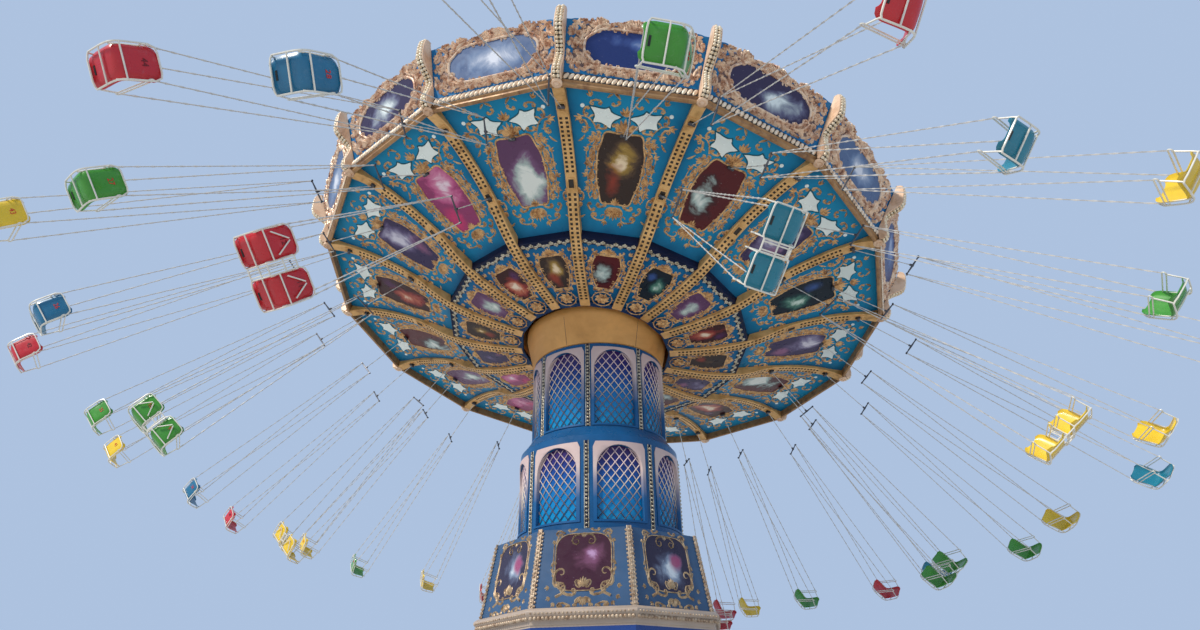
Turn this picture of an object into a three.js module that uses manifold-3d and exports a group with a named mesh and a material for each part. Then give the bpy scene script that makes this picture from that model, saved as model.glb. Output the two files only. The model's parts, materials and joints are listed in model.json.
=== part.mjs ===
// Chair swing ride: an octagonal base, a two-stage lifting tower, a turning head and a tilted
// sixteen-sided canopy with 32 single and 8 double swing chairs, flying as they do at full speed.
// Units are millimetres, +Z is up and the origin is the tower axis at ground level.
import * as THREE from 'three';
import { mergeVertices } from 'three/addons/utils/BufferGeometryUtils.js';
import Module from 'manifold-3d';

const wasm = await Module();
wasm.setup();

// Sides and directions, in degrees counted anticlockwise from +X
const BASE_SIDES = 8;
const BASE_CORNER_AZ = 22.5;
const CANOPY_SIDES = 16;
const BAY = 360 / CANOPY_SIDES;
const RIB_AZ = 1.5;
const ROUND_SEGMENTS = 32;
const ROUND_AZ = 0;

// Pieces that touch keep this gap, and solids that are joined reach this far into each other
const SEAT_GAP = 0.3;
const EMBED = 10;

// Base, from the ground to the top of the skirt
const FLOOR_R = 2000;
const FLOOR_H = 120;
const STOREY_TOP = 2780;
const WALL_R = 1830;
const WALL_T = 50;
const COLUMN_R = 95;
const COLUMN_AT = 1935;
const LINTEL_H = 150;
const LINTEL_R = 2040;
const CORNICE_TOP = 3040;
const CORNICE_R = 2150;
const SKIRT_BOTTOM_R = 2042;
const SKIRT_TOP_R = 1834;
const SKIRT_TOP = 4230;
const SKIRT_T = 60;
const SKIRT_ROOF_IN = 520;

// Lifting tower
const LOWER_R = 1461;
const LOWER_BOTTOM = 3600;
const LOWER_TOP = 5862;
const LEDGE_TOP = 6060;
const UPPER_R = 1268;
const UPPER_BOTTOM = 5000;
const UPPER_TOP = 7700;
const UPPER_CAP_T = 90;
const DRUM_T = 60;
const LEDGE_T = 60;
const LEDGE_W = 30;
const RUNNING_GAP = 0.8;
const GLAZING_T = 12;
const WINDOW_W_LOWER = 800;
const WINDOW_W_UPPER = 760;
const WINDOW_SILL_LOWER = 4420;
const WINDOW_SPRING_LOWER = 5280;
const WINDOW_SILL_UPPER = 6130;
const WINDOW_SPRING_UPPER = 7200;
const WINDOW_TOOL = 400;
const WINDOW_MARGIN = 25;
const WINDOWS = 8;
const WINDOW_AZ = 22.5;

// Turning head and tilting hub
const TURN_GAP = 0.8;
const SPIGOT_GAP = 4;
const COLLAR_R = 1290;
const COLLAR_TOP_R = 1425;
const COLLAR_FLARE_TOP = 8300;
const COLLAR_T = 60;
const COLLAR_FLOOR_T = 80;
const COLLAR_BOTTOM = UPPER_TOP + TURN_GAP;
const COLLAR_TOP = 8440;
const SPIGOT_R = 420;
const SPIGOT_DEPTH = 260;
const PIVOT_Z = 8527;
const CHEEK_AT = 640;
const CHEEK_T = 120;
const CHEEK_W = 420;
const CHEEK_RISE = 190;
const CHEEK_SINK = 60;
const TRUNNION_R = 110;
const TRUNNION_END = 20;
const TRUNNION_CLEARANCE = 3;
const HUB_R = 380;
const HUB_BOTTOM = -180;
const HUB_TOP = 620;
const HUB_PLATE_R = 650;
const HUB_PLATE_T = 60;
const BELL_R = 1495;
const BELL_T = 80;
const BELL_SHOULDER = 400;
const TILT_DEG = 11.3;
const TILT_AZ = 61.9;

// Canopy, in its own frame: origin on the tilt pivot, +Z along the canopy's own axis
const INNER_R = 1490;
const MID_R = 3016;
const RIM_R = 5600;
const RIB_W = 190;
const RIB_END = 25;
const RIM_DEPTH = 170;
const CEILING_T = 30;
const RING_W = 110;
const RING_T = 40;
const MID_BAND_W = 40;
const MID_BAND_T = 30;

// Lengthwise section, as radius and height: the ribs' underside is an S, and the ceiling steps
// down at the mid band
const RIB_PROFILE = [
  [INNER_R, -460], [2000, -420], [2550, -340], [3040, -200], [3400, -40], [3750, 155],
  [4150, 315], [4600, 430], [5000, 500], [5350, 520], [RIM_R, 474],
];
const INNER_PROFILE = [[INNER_R, -400], [2000, -360], [2550, -265], [MID_R, -160]];
const OUTER_PROFILE = [
  [MID_R + MID_BAND_W, -10], [3400, 115], [3750, 240], [4150, 375], [4600, 500],
  [5000, 575], [5350, 605], [RIM_R, 644],
];
const RIM_CORNICE_UP = 90;
const RIM_CHAMFER = 40;
const RIM_CORNICE_OUT = 90;
const CROWN_BOTTOM_R = 5640;
const CROWN_TOP_R = 6040;
const CROWN_H = 830;
const CROWN_T = 45;
const CROWN_CREST = 130;
const CREST_SHARE = 0.8;
const CREST_SINK = 60;
const CREST_EDGE = 30;
const POST_W = 150;
const POST_DEPTH = 110;
const POST_RISE = 120;
const ROOF_TOP = 1900;
const ROOF_T = 40;
const ROOF_HOLE_R = 420;
const ROOF_FOOT_IN = 150;
const ROOF_EDGE_IN = 10;
const CAP_SEAT = 20;

// Swings, in their own frame: hinge at the origin, hanging down -Z, +X outwards, facing -Y
const EYE_R = 30;
const EYE_W = 120;
const HANGER_GAP = 0.6;
const SINGLE_EYE_TURN = 48;
const MIDBAY_EYE_TURN = 38;
const DOUBLE_EYE_TURN = 19;
const ROD_R = 11;
const SPREADER_R = 12;
const CHAIN_R = 9;
const TUBE_R = 12;
const SINGLE_R = 5220;
const MIDBAY_R = 4700;
const DOUBLE_R = 3900;
const SINGLE_LENGTH = 5520;
const DOUBLE_LENGTH = 5215;
const SINGLE_ANGLE = 51.4;
const MIDBAY_ANGLE = 49.3;
const DOUBLE_ANGLE = 40.9;
const SPREADER_AT = 1100;
const SINGLE_SPREADER_HALF = 200;
const DOUBLE_SPREADER_HALF = 220;
const SEAT_W = 380;
const SEAT_FRONT = -210;
const SEAT_BACK = 170;
const BACK_H = 350;
const BACK_LEAN = 80;
const SHELL_T = 26;
const ARM_H = 220;
const ARM_INSET = 18;
const LEG_SINK = 13;
const DOUBLE_PITCH = 500;
// In flight the seats trail behind their hangers, and feel the tilt a little late
const SWING_TILT_SHARE = 0.55;
const SWING_LAG = 3.6;
const SWING_DELAY = 24;

const COLORS = {
  cream: { color: 0xe6dcc4, roughness: 0.5, metalness: 0.0 },
  blue: { color: 0x2d5f8f, roughness: 0.4, metalness: 0.0 },
  navy: { color: 0x1a2c5b, roughness: 0.35, metalness: 0.0 },
  gold: { color: 0xb9863a, roughness: 0.4, metalness: 0.5 },
  azure: { color: 0x1f6fae, roughness: 0.35, metalness: 0.0 },
  picture: { color: 0x7c6a86, roughness: 0.45, metalness: 0.0 },
  steel: { color: 0x55585c, roughness: 0.45, metalness: 0.8 },
  roof: { color: 0x23508a, roughness: 0.6, metalness: 0.0 },
  red: { color: 0xb3101c, roughness: 0.35, metalness: 0.0 },
  yellow: { color: 0xe5b414, roughness: 0.35, metalness: 0.0 },
  green: { color: 0x2b7d22, roughness: 0.35, metalness: 0.0 },
  teal: { color: 0x1b7f97, roughness: 0.35, metalness: 0.0 },
  sea_blue: { color: 0x1f5f93, roughness: 0.35, metalness: 0.0 },
};
// Seat colors by hanger, in the order of the names
const RIB_SEATS = ['teal', 'green', 'red', 'yellow', 'teal', 'red', 'green', 'red',
  'yellow', 'red', 'yellow', 'red', 'green', 'red', 'yellow', 'green'];
const MIDBAY_SEATS = ['yellow', 'teal', 'green', 'red', 'green', 'yellow', 'yellow', 'sea_blue',
  'green', 'sea_blue', 'green', 'sea_blue', 'green', 'teal', 'green', 'yellow'];
const DOUBLE_SEATS = ['green', 'red', 'teal', 'yellow', 'green', 'red', 'teal', 'yellow'];

const rad = THREE.MathUtils.degToRad;
const cosd = (angle) => Math.cos(rad(angle));
const sind = (angle) => Math.sin(rad(angle));

// Solids and booleans

function toSolid(geometry) {
  const plain = geometry.clone();
  plain.deleteAttribute('normal');
  plain.deleteAttribute('uv');
  const merged = mergeVertices(plain, 1e-3);
  return new wasm.Manifold(new wasm.Mesh({
    numProp: 3,
    vertProperties: Float32Array.from(merged.attributes.position.array),
    triVerts: Uint32Array.from(merged.index.array),
  }));
}

function toGeometry(solid) {
  const mesh = solid.asOriginal().getMesh();
  const geometry = new THREE.BufferGeometry();
  geometry.setAttribute('position', new THREE.BufferAttribute(mesh.vertProperties, 3));
  geometry.setIndex(new THREE.BufferAttribute(mesh.triVerts, 1));
  geometry.computeVertexNormals();
  return geometry;
}

function unite(solids) {
  return solids.reduce((sum, solid) => sum.add(solid));
}

function cut(solid, tools) {
  return tools.reduce((rest, tool) => rest.subtract(tool), solid);
}

function box(low, high) {
  const size = high.map((value, i) => value - low[i]);
  const geometry = new THREE.BoxGeometry(...size);
  geometry.translate(...low.map((value, i) => (value + high[i]) / 2));
  return toSolid(geometry);
}

// A closed ring or disc turned about Z, with its corners at the given azimuth
function turned(profile, sides, cornerAz) {
  const points = profile.map(([r, z]) => new THREE.Vector2(r, z));
  const geometry = new THREE.LatheGeometry(points, sides, rad(cornerAz + 90));
  geometry.rotateX(Math.PI / 2);
  return toSolid(geometry);
}

function turnedRing(profile, sides, cornerAz) {
  return turned([...profile, profile[0]], sides, cornerAz);
}

function cylinder(radius, z0, z1, sides = ROUND_SEGMENTS, cornerAz = ROUND_AZ) {
  return turned([[0, z0], [radius, z0], [radius, z1], [0, z1]], sides, cornerAz);
}

// A straight round bar between two points
function bar(from, to, radius, sides = 4) {
  const a = new THREE.Vector3(...from);
  const b = new THREE.Vector3(...to);
  const geometry = new THREE.CylinderGeometry(radius, radius, a.distanceTo(b), sides);
  const direction = b.clone().sub(a).normalize();
  const turn = new THREE.Quaternion().setFromUnitVectors(new THREE.Vector3(0, 1, 0), direction);
  geometry.applyQuaternion(turn);
  geometry.translate(...a.add(b).multiplyScalar(0.5).toArray());
  return toSolid(geometry);
}

// A flat outline in the plane of x (or radius) and z, thickened along y about y = 0
function plateXZ(outline, thickness) {
  const shape = new THREE.Shape(outline.map(([x, z]) => new THREE.Vector2(x, z)));
  const geometry = new THREE.ExtrudeGeometry(shape, { depth: thickness, bevelEnabled: false });
  geometry.translate(0, 0, -thickness / 2);
  geometry.rotateX(Math.PI / 2);
  return toSolid(geometry);
}

function spun(solid, azimuth) {
  return solid.rotate([0, 0, azimuth]);
}

function around(count, firstAz, make) {
  return Array.from({ length: count }, (_, i) => spun(make(i), firstAz + (i * 360) / count));
}

function mesh(name, solid, colorName) {
  const material = new THREE.MeshStandardMaterial(COLORS[colorName]);
  const node = new THREE.Mesh(toGeometry(solid), material);
  node.name = name;
  return node;
}

// Base

function baseFrame() {
  const floor = cylinder(FLOOR_R, 0, FLOOR_H, BASE_SIDES, BASE_CORNER_AZ);
  const lintel = turnedRing([
    [WALL_R - WALL_T, STOREY_TOP - LINTEL_H], [LINTEL_R, STOREY_TOP - LINTEL_H],
    [LINTEL_R, STOREY_TOP], [WALL_R - WALL_T, STOREY_TOP],
  ], BASE_SIDES, BASE_CORNER_AZ);
  const foot = FLOOR_H - EMBED;
  const head = STOREY_TOP - LINTEL_H + EMBED;
  const columns = around(BASE_SIDES, BASE_CORNER_AZ, () =>
    cylinder(COLUMN_R, foot, head, 8, BASE_CORNER_AZ).translate([COLUMN_AT, 0, 0]));
  return unite([floor, lintel, ...columns]);
}

function baseWall() {
  return turnedRing([
    [WALL_R - WALL_T, FLOOR_H], [WALL_R, FLOOR_H],
    [WALL_R, STOREY_TOP - LINTEL_H], [WALL_R - WALL_T, STOREY_TOP - LINTEL_H],
  ], BASE_SIDES, BASE_CORNER_AZ);
}

function baseCornice() {
  return turnedRing([
    [WALL_R - WALL_T, STOREY_TOP], [FLOOR_R + 50, STOREY_TOP], [FLOOR_R + 60, STOREY_TOP + 90],
    [CORNICE_R - 20, STOREY_TOP + 150], [CORNICE_R, STOREY_TOP + 180], [CORNICE_R, CORNICE_TOP - 30],
    [CORNICE_R - 60, CORNICE_TOP], [WALL_R - WALL_T, CORNICE_TOP],
  ], BASE_SIDES, BASE_CORNER_AZ);
}

function baseSkirt() {
  const shell = turnedRing([
    [SKIRT_BOTTOM_R - SKIRT_T, CORNICE_TOP], [SKIRT_BOTTOM_R, CORNICE_TOP], [SKIRT_TOP_R, SKIRT_TOP],
    [SKIRT_TOP_R - SKIRT_ROOF_IN, SKIRT_TOP], [SKIRT_TOP_R - SKIRT_ROOF_IN, SKIRT_TOP - SKIRT_T],
    [SKIRT_TOP_R - SKIRT_T, SKIRT_TOP - SKIRT_T],
  ], BASE_SIDES, BASE_CORNER_AZ);
  return cut(shell, [cylinder(LOWER_R + RUNNING_GAP, SKIRT_TOP - 300, SKIRT_TOP + 100)]);
}

// Tower

function archTool(width, sill, spring, reach) {
  const half = width / 2;
  const steps = 6;
  const outline = [[-half, sill], [half, sill]];
  for (let i = 0; i <= steps; i++) {
    const angle = (Math.PI * i) / steps;
    outline.push([half * Math.cos(angle), spring + half * Math.sin(angle)]);
  }
  return plateXZ(outline, WINDOW_TOOL).translate([0, -reach, 0]);
}

function windowTools(width, sill, spring, reach) {
  return around(WINDOWS, WINDOW_AZ, () => archTool(width, sill, spring, reach));
}

function lowerDrum() {
  const bore = UPPER_R + RUNNING_GAP;
  const shell = turnedRing([
    [LOWER_R - DRUM_T, LOWER_BOTTOM], [LOWER_R, LOWER_BOTTOM], [LOWER_R, LOWER_TOP],
    [bore + LEDGE_W, LEDGE_TOP], [bore, LEDGE_TOP],
    [bore, LOWER_TOP - LEDGE_T], [LOWER_R - DRUM_T, LOWER_TOP - LEDGE_T],
  ], ROUND_SEGMENTS, ROUND_AZ);
  return cut(shell, windowTools(WINDOW_W_LOWER, WINDOW_SILL_LOWER, WINDOW_SPRING_LOWER, LOWER_R));
}

function upperDrum() {
  const shell = turnedRing([
    [UPPER_R - DRUM_T, UPPER_BOTTOM], [UPPER_R, UPPER_BOTTOM], [UPPER_R, UPPER_TOP],
    [SPIGOT_R + SPIGOT_GAP, UPPER_TOP], [SPIGOT_R + SPIGOT_GAP, UPPER_TOP - UPPER_CAP_T],
    [UPPER_R - DRUM_T, UPPER_TOP - UPPER_CAP_T],
  ], ROUND_SEGMENTS, ROUND_AZ);
  return cut(shell, windowTools(WINDOW_W_UPPER, WINDOW_SILL_UPPER, WINDOW_SPRING_UPPER, UPPER_R));
}

function glazing(drumR, sill, spring, width) {
  const outer = drumR - DRUM_T - SEAT_GAP;
  const low = sill - WINDOW_MARGIN;
  const high = spring + width / 2 + WINDOW_MARGIN;
  return turnedRing([
    [outer - GLAZING_T, low], [outer, low], [outer, high], [outer - GLAZING_T, high],
  ], ROUND_SEGMENTS, ROUND_AZ);
}

// Head and hub

function headCollar() {
  const inside = COLLAR_R - COLLAR_T;
  const deck = COLLAR_BOTTOM + COLLAR_FLOOR_T;
  const shell = turned([
    [0, COLLAR_BOTTOM - SPIGOT_DEPTH], [SPIGOT_R, COLLAR_BOTTOM - SPIGOT_DEPTH],
    [SPIGOT_R, COLLAR_BOTTOM], [COLLAR_R, COLLAR_BOTTOM],
    [COLLAR_TOP_R, COLLAR_FLARE_TOP], [COLLAR_TOP_R, COLLAR_TOP],
    [COLLAR_TOP_R - COLLAR_T, COLLAR_TOP], [COLLAR_TOP_R - COLLAR_T, COLLAR_FLARE_TOP],
    [inside, deck], [0, deck],
  ], ROUND_SEGMENTS, ROUND_AZ);
  const foot = deck - CHEEK_SINK;
  const head = PIVOT_Z + CHEEK_RISE;
  const cheeks = [-1, 1].map((side) => {
    const y = side * CHEEK_AT;
    return box([-CHEEK_W / 2, y - CHEEK_T / 2, foot], [CHEEK_W / 2, y + CHEEK_T / 2, head]);
  });
  const reach = CHEEK_AT + CHEEK_T;
  const boreR = TRUNNION_R + TRUNNION_CLEARANCE;
  const bore = bar([0, -reach, PIVOT_Z], [0, reach, PIVOT_Z], boreR, 16);
  return unite([shell, spun(cut(unite(cheeks), [bore]), TILT_AZ)]);
}

function tiltHub() {
  const reach = CHEEK_AT + CHEEK_T / 2 + TRUNNION_END;
  const trunnion = bar([0, -reach, 0], [0, reach, 0], TRUNNION_R, 16);
  const post = cylinder(HUB_R, HUB_BOTTOM, HUB_TOP, 16, 0);
  return spun(unite([trunnion, post]), TILT_AZ);
}

// Canopy

// Height of a section at a radius: straight between its points
function heightAt(profile, r) {
  const next = Math.max(1, profile.findIndex(([at], i) => at >= r || i === profile.length - 1));
  const [[r0, z0], [r1, z1]] = [profile[next - 1], profile[next]];
  return z0 + ((z1 - z0) * (r - r0)) / (r1 - r0);
}

const ribZ = (r) => heightAt(RIB_PROFILE, r);
const ceilingZ = (r) => heightAt([...INNER_PROFILE, ...OUTER_PROFILE], r);

function rib() {
  const start = INNER_R + 2 * EMBED;
  const end = RIM_R - RIB_END;
  const step = MID_R + MID_BAND_W + 2 * SEAT_GAP;
  const between = (profile) => profile.filter(([r]) => r > start && r < end);
  const lower = ([r, z]) => [r, z - SEAT_GAP];
  const outer = between(OUTER_PROFILE).slice(1).map(lower);
  const over = [
    lower([start, ceilingZ(start)]), ...between(INNER_PROFILE).map(lower),
    lower([step, ceilingZ(MID_R)]), lower([step, ceilingZ(step)]), ...outer,
    lower([end, ceilingZ(end)]),
  ];
  const under = [[start, ribZ(start)], ...between(RIB_PROFILE), [end, ribZ(end)]];
  return plateXZ([...under, ...over.reverse()], RIB_W);
}

function ribFrame() {
  const top = ceilingZ(INNER_R) - SEAT_GAP;
  const ring = turnedRing([
    [INNER_R, top - RING_T], [INNER_R + RING_W, top - RING_T],
    [INNER_R + RING_W, top], [INNER_R, top],
  ], CANOPY_SIDES, RIB_AZ);
  return unite([ring, ...around(CANOPY_SIDES, RIB_AZ, rib)]);
}

function ceilingShell(profile) {
  const over = profile.map(([r, z]) => [r, z + CEILING_T]).reverse();
  return turnedRing([...profile, ...over], CANOPY_SIDES, RIB_AZ);
}

function outerCeiling() {
  return ceilingShell(OUTER_PROFILE);
}

function innerCeiling() {
  return ceilingShell(INNER_PROFILE);
}

// Upright band that closes the step between the two ceilings
function midBand() {
  const low = MID_R + SEAT_GAP;
  const high = MID_R + MID_BAND_W - SEAT_GAP;
  const top = ceilingZ(MID_R + MID_BAND_W) + MID_BAND_T;
  return turnedRing([
    [low, ceilingZ(MID_R)], [high, ceilingZ(MID_R)], [high, top], [low, top],
  ], CANOPY_SIDES, RIB_AZ);
}

const RIM_Z = ceilingZ(RIM_R);

function rimRing() {
  return turnedRing([
    [RIM_R + SEAT_GAP, RIM_Z - RIM_DEPTH], [RIM_R + RIM_CORNICE_OUT, RIM_Z - RIM_DEPTH + RIM_CHAMFER],
    [RIM_R + RIM_CORNICE_OUT, RIM_Z + RIM_CORNICE_UP], [RIM_R + SEAT_GAP, RIM_Z + RIM_CORNICE_UP],
  ], CANOPY_SIDES, RIB_AZ);
}

// S-shaped corner bracket in the radial plane, standing on the rim and backing the boards
function crownPost() {
  const foot = CROWN_BOTTOM_R + CROWN_T + 1;
  const head = CROWN_TOP_R + CROWN_T + 1;
  const z0 = RIM_Z - RIM_DEPTH + RIM_CHAMFER;
  const z1 = RIM_Z + RIM_CORNICE_UP + CROWN_H;
  return plateXZ([
    [foot - 20, z0], [foot + 100, z0 + 20], [foot + 150, z0 + 150], [foot + 120, z0 + 330],
    [head + POST_DEPTH + 40, z1 - 120], [head + POST_DEPTH + 50, z1 + POST_RISE - 50],
    [head + POST_DEPTH - 20, z1 + POST_RISE], [head, z1], [foot, RIM_Z + RIM_CORNICE_UP],
  ], POST_W);
}

function rimCornice() {
  return unite([rimRing(), ...around(CANOPY_SIDES, RIB_AZ, crownPost)]);
}

function crownCrest() {
  const foot = CROWN_BOTTOM_R * cosd(BAY / 2);
  const head = CROWN_TOP_R * cosd(BAY / 2);
  const lean = THREE.MathUtils.radToDeg(Math.atan2(head - foot, CROWN_H));
  const up = Math.hypot(head - foot, CROWN_H);
  const half = CROWN_TOP_R * sind(BAY / 2) * CREST_SHARE;
  const outline = [
    [-half, up - CREST_SINK], [half, up - CREST_SINK], [half, up + CREST_EDGE],
    [half * 0.35, up + CROWN_CREST], [-half * 0.35, up + CROWN_CREST], [-half, up + CREST_EDGE],
  ];
  return plateXZ(outline, CROWN_T * CREST_SHARE)
    .translate([0, -CROWN_T / 2, 0])
    .rotate([lean, 0, 0])
    .translate([0, -foot, RIM_Z + RIM_CORNICE_UP + SEAT_GAP]);
}

function crownBoards() {
  const z0 = RIM_Z + RIM_CORNICE_UP + SEAT_GAP;
  const z1 = z0 + CROWN_H;
  const ring = turnedRing([
    [CROWN_BOTTOM_R, z0], [CROWN_BOTTOM_R + CROWN_T, z0],
    [CROWN_TOP_R + CROWN_T, z1], [CROWN_TOP_R, z1],
  ], CANOPY_SIDES, RIB_AZ);
  return unite([ring, ...around(CANOPY_SIDES, RIB_AZ + BAY / 2 + 90, crownCrest)]);
}

function canopyHub() {
  const plate = HUB_TOP + TURN_GAP;
  const over = (r) => ceilingZ(r) + CEILING_T + SEAT_GAP;
  const post = ROOF_HOLE_R - SEAT_GAP;
  return turned([
    [0, plate], [HUB_PLATE_R, plate], [BELL_R, BELL_SHOULDER], [BELL_R, over(BELL_R)],
    [BELL_R + BELL_T, over(BELL_R + BELL_T)], [BELL_R + BELL_T, BELL_SHOULDER + HUB_PLATE_T],
    [HUB_PLATE_R, plate + HUB_PLATE_T], [post, plate + HUB_PLATE_T],
    [post, ROOF_TOP + CAP_SEAT], [0, ROOF_TOP + CAP_SEAT],
  ], CANOPY_SIDES, RIB_AZ);
}

function canopyRoof() {
  const edge = RIM_R - ROOF_EDGE_IN;
  const foot = RIM_R - ROOF_FOOT_IN;
  const over = (r) => ceilingZ(r) + CEILING_T + SEAT_GAP;
  return turnedRing([
    [ROOF_HOLE_R, ROOF_TOP - ROOF_T], [foot, RIM_Z + CEILING_T + 50], [foot, over(foot)],
    [edge, over(edge)], [edge, RIM_Z + CEILING_T + 90], [ROOF_HOLE_R, ROOF_TOP],
  ], CANOPY_SIDES, RIB_AZ);
}

function roofCap() {
  const z = ROOF_TOP + CAP_SEAT + SEAT_GAP;
  return turned([
    [0, z], [520, z], [500, z + 60], [400, z + 170], [230, z + 260], [80, z + 310],
    [60, z + 400], [110, z + 470], [60, z + 560], [0, z + 590],
  ], CANOPY_SIDES, RIB_AZ);
}

// Swings

function seatShell(x) {
  const profile = [
    [SEAT_FRONT, -SHELL_T], [SEAT_BACK, -SHELL_T], [SEAT_BACK + BACK_LEAN + SHELL_T, BACK_H],
    [SEAT_BACK + BACK_LEAN, BACK_H], [SEAT_BACK - SHELL_T, 0], [SEAT_FRONT, 0],
  ];
  return plateXZ(profile, SEAT_W).rotate([0, 0, 90]).translate([x, 0, 0]);
}

// Two chains, an arm and its two legs on one side of a seat, as one flat frame in y and z.
// z counts from the seat pan, and the chains meet at the end of the spreader bar.
function sideFrame(side, armX, apexZ, spreaderHalf) {
  const chain = 2 * CHAIN_R;
  const tube = 2 * TUBE_R;
  const front = SEAT_FRONT + 10;
  const rear = SEAT_BACK + 60;
  const rearZ = ARM_H + 40;
  const legRear = SEAT_BACK - 50;
  const shape = new THREE.Shape([
    [-chain, apexZ + chain], [front - TUBE_R, ARM_H], [front + TUBE_R, -LEG_SINK],
    [front + TUBE_R + tube, -LEG_SINK], [front + tube, ARM_H - tube], [rear - tube, rearZ - tube],
    [legRear - tube, -LEG_SINK], [legRear, -LEG_SINK], [rear + TUBE_R, rearZ], [chain, apexZ + chain],
  ].map(([y, z]) => new THREE.Vector2(y, z)));
  shape.holes.push(new THREE.Path([
    [0, apexZ - 15 * chain], [front + chain, ARM_H + 10], [rear - chain, rearZ + 10],
  ].map(([y, z]) => new THREE.Vector2(y, z))));
  const geometry = new THREE.ExtrudeGeometry(shape, { depth: chain, bevelEnabled: false });
  geometry.translate(0, 0, -chain / 2);
  geometry.rotateX(Math.PI / 2);
  geometry.rotateZ(Math.PI / 2);
  geometry.rotateY(Math.asin((side * (spreaderHalf - armX)) / apexZ));
  geometry.translate(side * armX, 0, 0);
  return toSolid(geometry);
}

// The arm of a double seat that has no chains, between the two seats
function innerArm(x) {
  const tube = 2 * TUBE_R;
  const outline = [
    [SEAT_FRONT + 20, -LEG_SINK], [SEAT_FRONT + 20, ARM_H], [SEAT_BACK, ARM_H],
    [SEAT_BACK - 50, -LEG_SINK], [SEAT_BACK - 50 - tube, -LEG_SINK], [SEAT_BACK - 10 - tube, ARM_H - tube],
    [SEAT_FRONT + 20 + tube, ARM_H - tube], [SEAT_FRONT + 20 + tube, -LEG_SINK],
  ];
  return plateXZ(outline, tube).rotate([0, 0, 90]).translate([x, 0, 0]);
}

function hanger(spreaderHalf, eyeTurn) {
  const eye = bar([0, -EYE_W / 2, 0], [0, EYE_W / 2, 0], EYE_R, 6).rotate([0, eyeTurn, 0]);
  const rod = bar([0, 0, -5], [0, 0, -SPREADER_AT], ROD_R, 3);
  const spreader = box(
    [-spreaderHalf, -SPREADER_R, -SPREADER_AT - SPREADER_R],
    [spreaderHalf, SPREADER_R, -SPREADER_AT + SPREADER_R],
  );
  return unite([eye, rod, spreader]);
}

function swing(length, spreaderHalf, eyeTurn, seats, armX) {
  const frames = [-1, 1].map((side) => sideFrame(side, armX, length - SPREADER_AT, spreaderHalf));
  const chair = unite([...seats, ...frames]).translate([0, 0, -length]);
  return unite([hanger(spreaderHalf, eyeTurn), chair]);
}

function singleSwing(eyeTurn) {
  const armX = SEAT_W / 2 - ARM_INSET;
  return swing(SINGLE_LENGTH, SINGLE_SPREADER_HALF, eyeTurn, [seatShell(0)], armX);
}

function doubleSwing() {
  const centre = DOUBLE_PITCH / 2;
  const inner = centre - SEAT_W / 2 + ARM_INSET;
  const crossBars = [SEAT_FRONT + 60, SEAT_BACK - 60].map((y) =>
    box([-centre, y - TUBE_R, -SHELL_T - TUBE_R], [centre, y + TUBE_R, -SHELL_T + TUBE_R]));
  const seats = [seatShell(-centre), seatShell(centre), innerArm(-inner), innerArm(inner), ...crossBars];
  const armX = centre + SEAT_W / 2 - ARM_INSET;
  return swing(DOUBLE_LENGTH, DOUBLE_SPREADER_HALF, DOUBLE_EYE_TURN, seats, armX);
}

// Hinge places, in the canopy's frame: the eye touches a slope at one of its ends, because
// the whole swing is turned by the lag
function hingePlace(r, z, slope) {
  const drop = (EYE_R + HANGER_GAP) / Math.hypot(1, slope);
  return [r + slope * drop, z - drop - slope * (EYE_W / 2) * sind(SWING_LAG)];
}

function ribHanger(r) {
  return hingePlace(r, ribZ(r), (ribZ(r + 1) - ribZ(r - 1)) / 2);
}

// Halfway between two ribs the ceiling panel is flat across, and its own radius counts
function midbayHanger(r) {
  const under = ceilingZ(r / cosd(BAY / 2));
  return hingePlace(r, under, ceilingZ((r + 1) / cosd(BAY / 2)) - under);
}

// A swing keeps part of the canopy's tilt, because its weight and its speed both pull on it
function flyingAngle(angle, azimuth) {
  return angle + SWING_TILT_SHARE * TILT_DEG * cosd(azimuth - TILT_AZ + SWING_DELAY);
}

function placeSwing(node, [r, z], azimuth, angle) {
  node.position.set(r * cosd(azimuth), r * sind(azimuth), z);
  node.rotation.set(0, -rad(flyingAngle(angle, azimuth)), rad(azimuth + SWING_LAG), 'ZYX');
  return node;
}

function swings() {
  const ribSwing = singleSwing(SINGLE_EYE_TURN);
  const midbaySwing = singleSwing(MIDBAY_EYE_TURN);
  const double = doubleSwing();
  const nodes = [];
  for (let i = 0; i < CANOPY_SIDES; i++) {
    const az = RIB_AZ + i * BAY;
    const label = String(i + 1).padStart(2, '0');
    const ribNode = mesh(`swing_rib_${label}`, ribSwing, RIB_SEATS[i]);
    nodes.push(placeSwing(ribNode, ribHanger(SINGLE_R), az, SINGLE_ANGLE));
    const midNode = mesh(`swing_midbay_${label}`, midbaySwing, MIDBAY_SEATS[i]);
    nodes.push(placeSwing(midNode, midbayHanger(MIDBAY_R), az + BAY / 2, MIDBAY_ANGLE));
  }
  for (let i = 0; i < CANOPY_SIDES / 2; i++) {
    const node = mesh(`swing_double_${i + 1}`, double, DOUBLE_SEATS[i]);
    nodes.push(placeSwing(node, ribHanger(DOUBLE_R), RIB_AZ + BAY * (2 * i + 1), DOUBLE_ANGLE));
  }
  return nodes;
}

// Assembly

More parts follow.
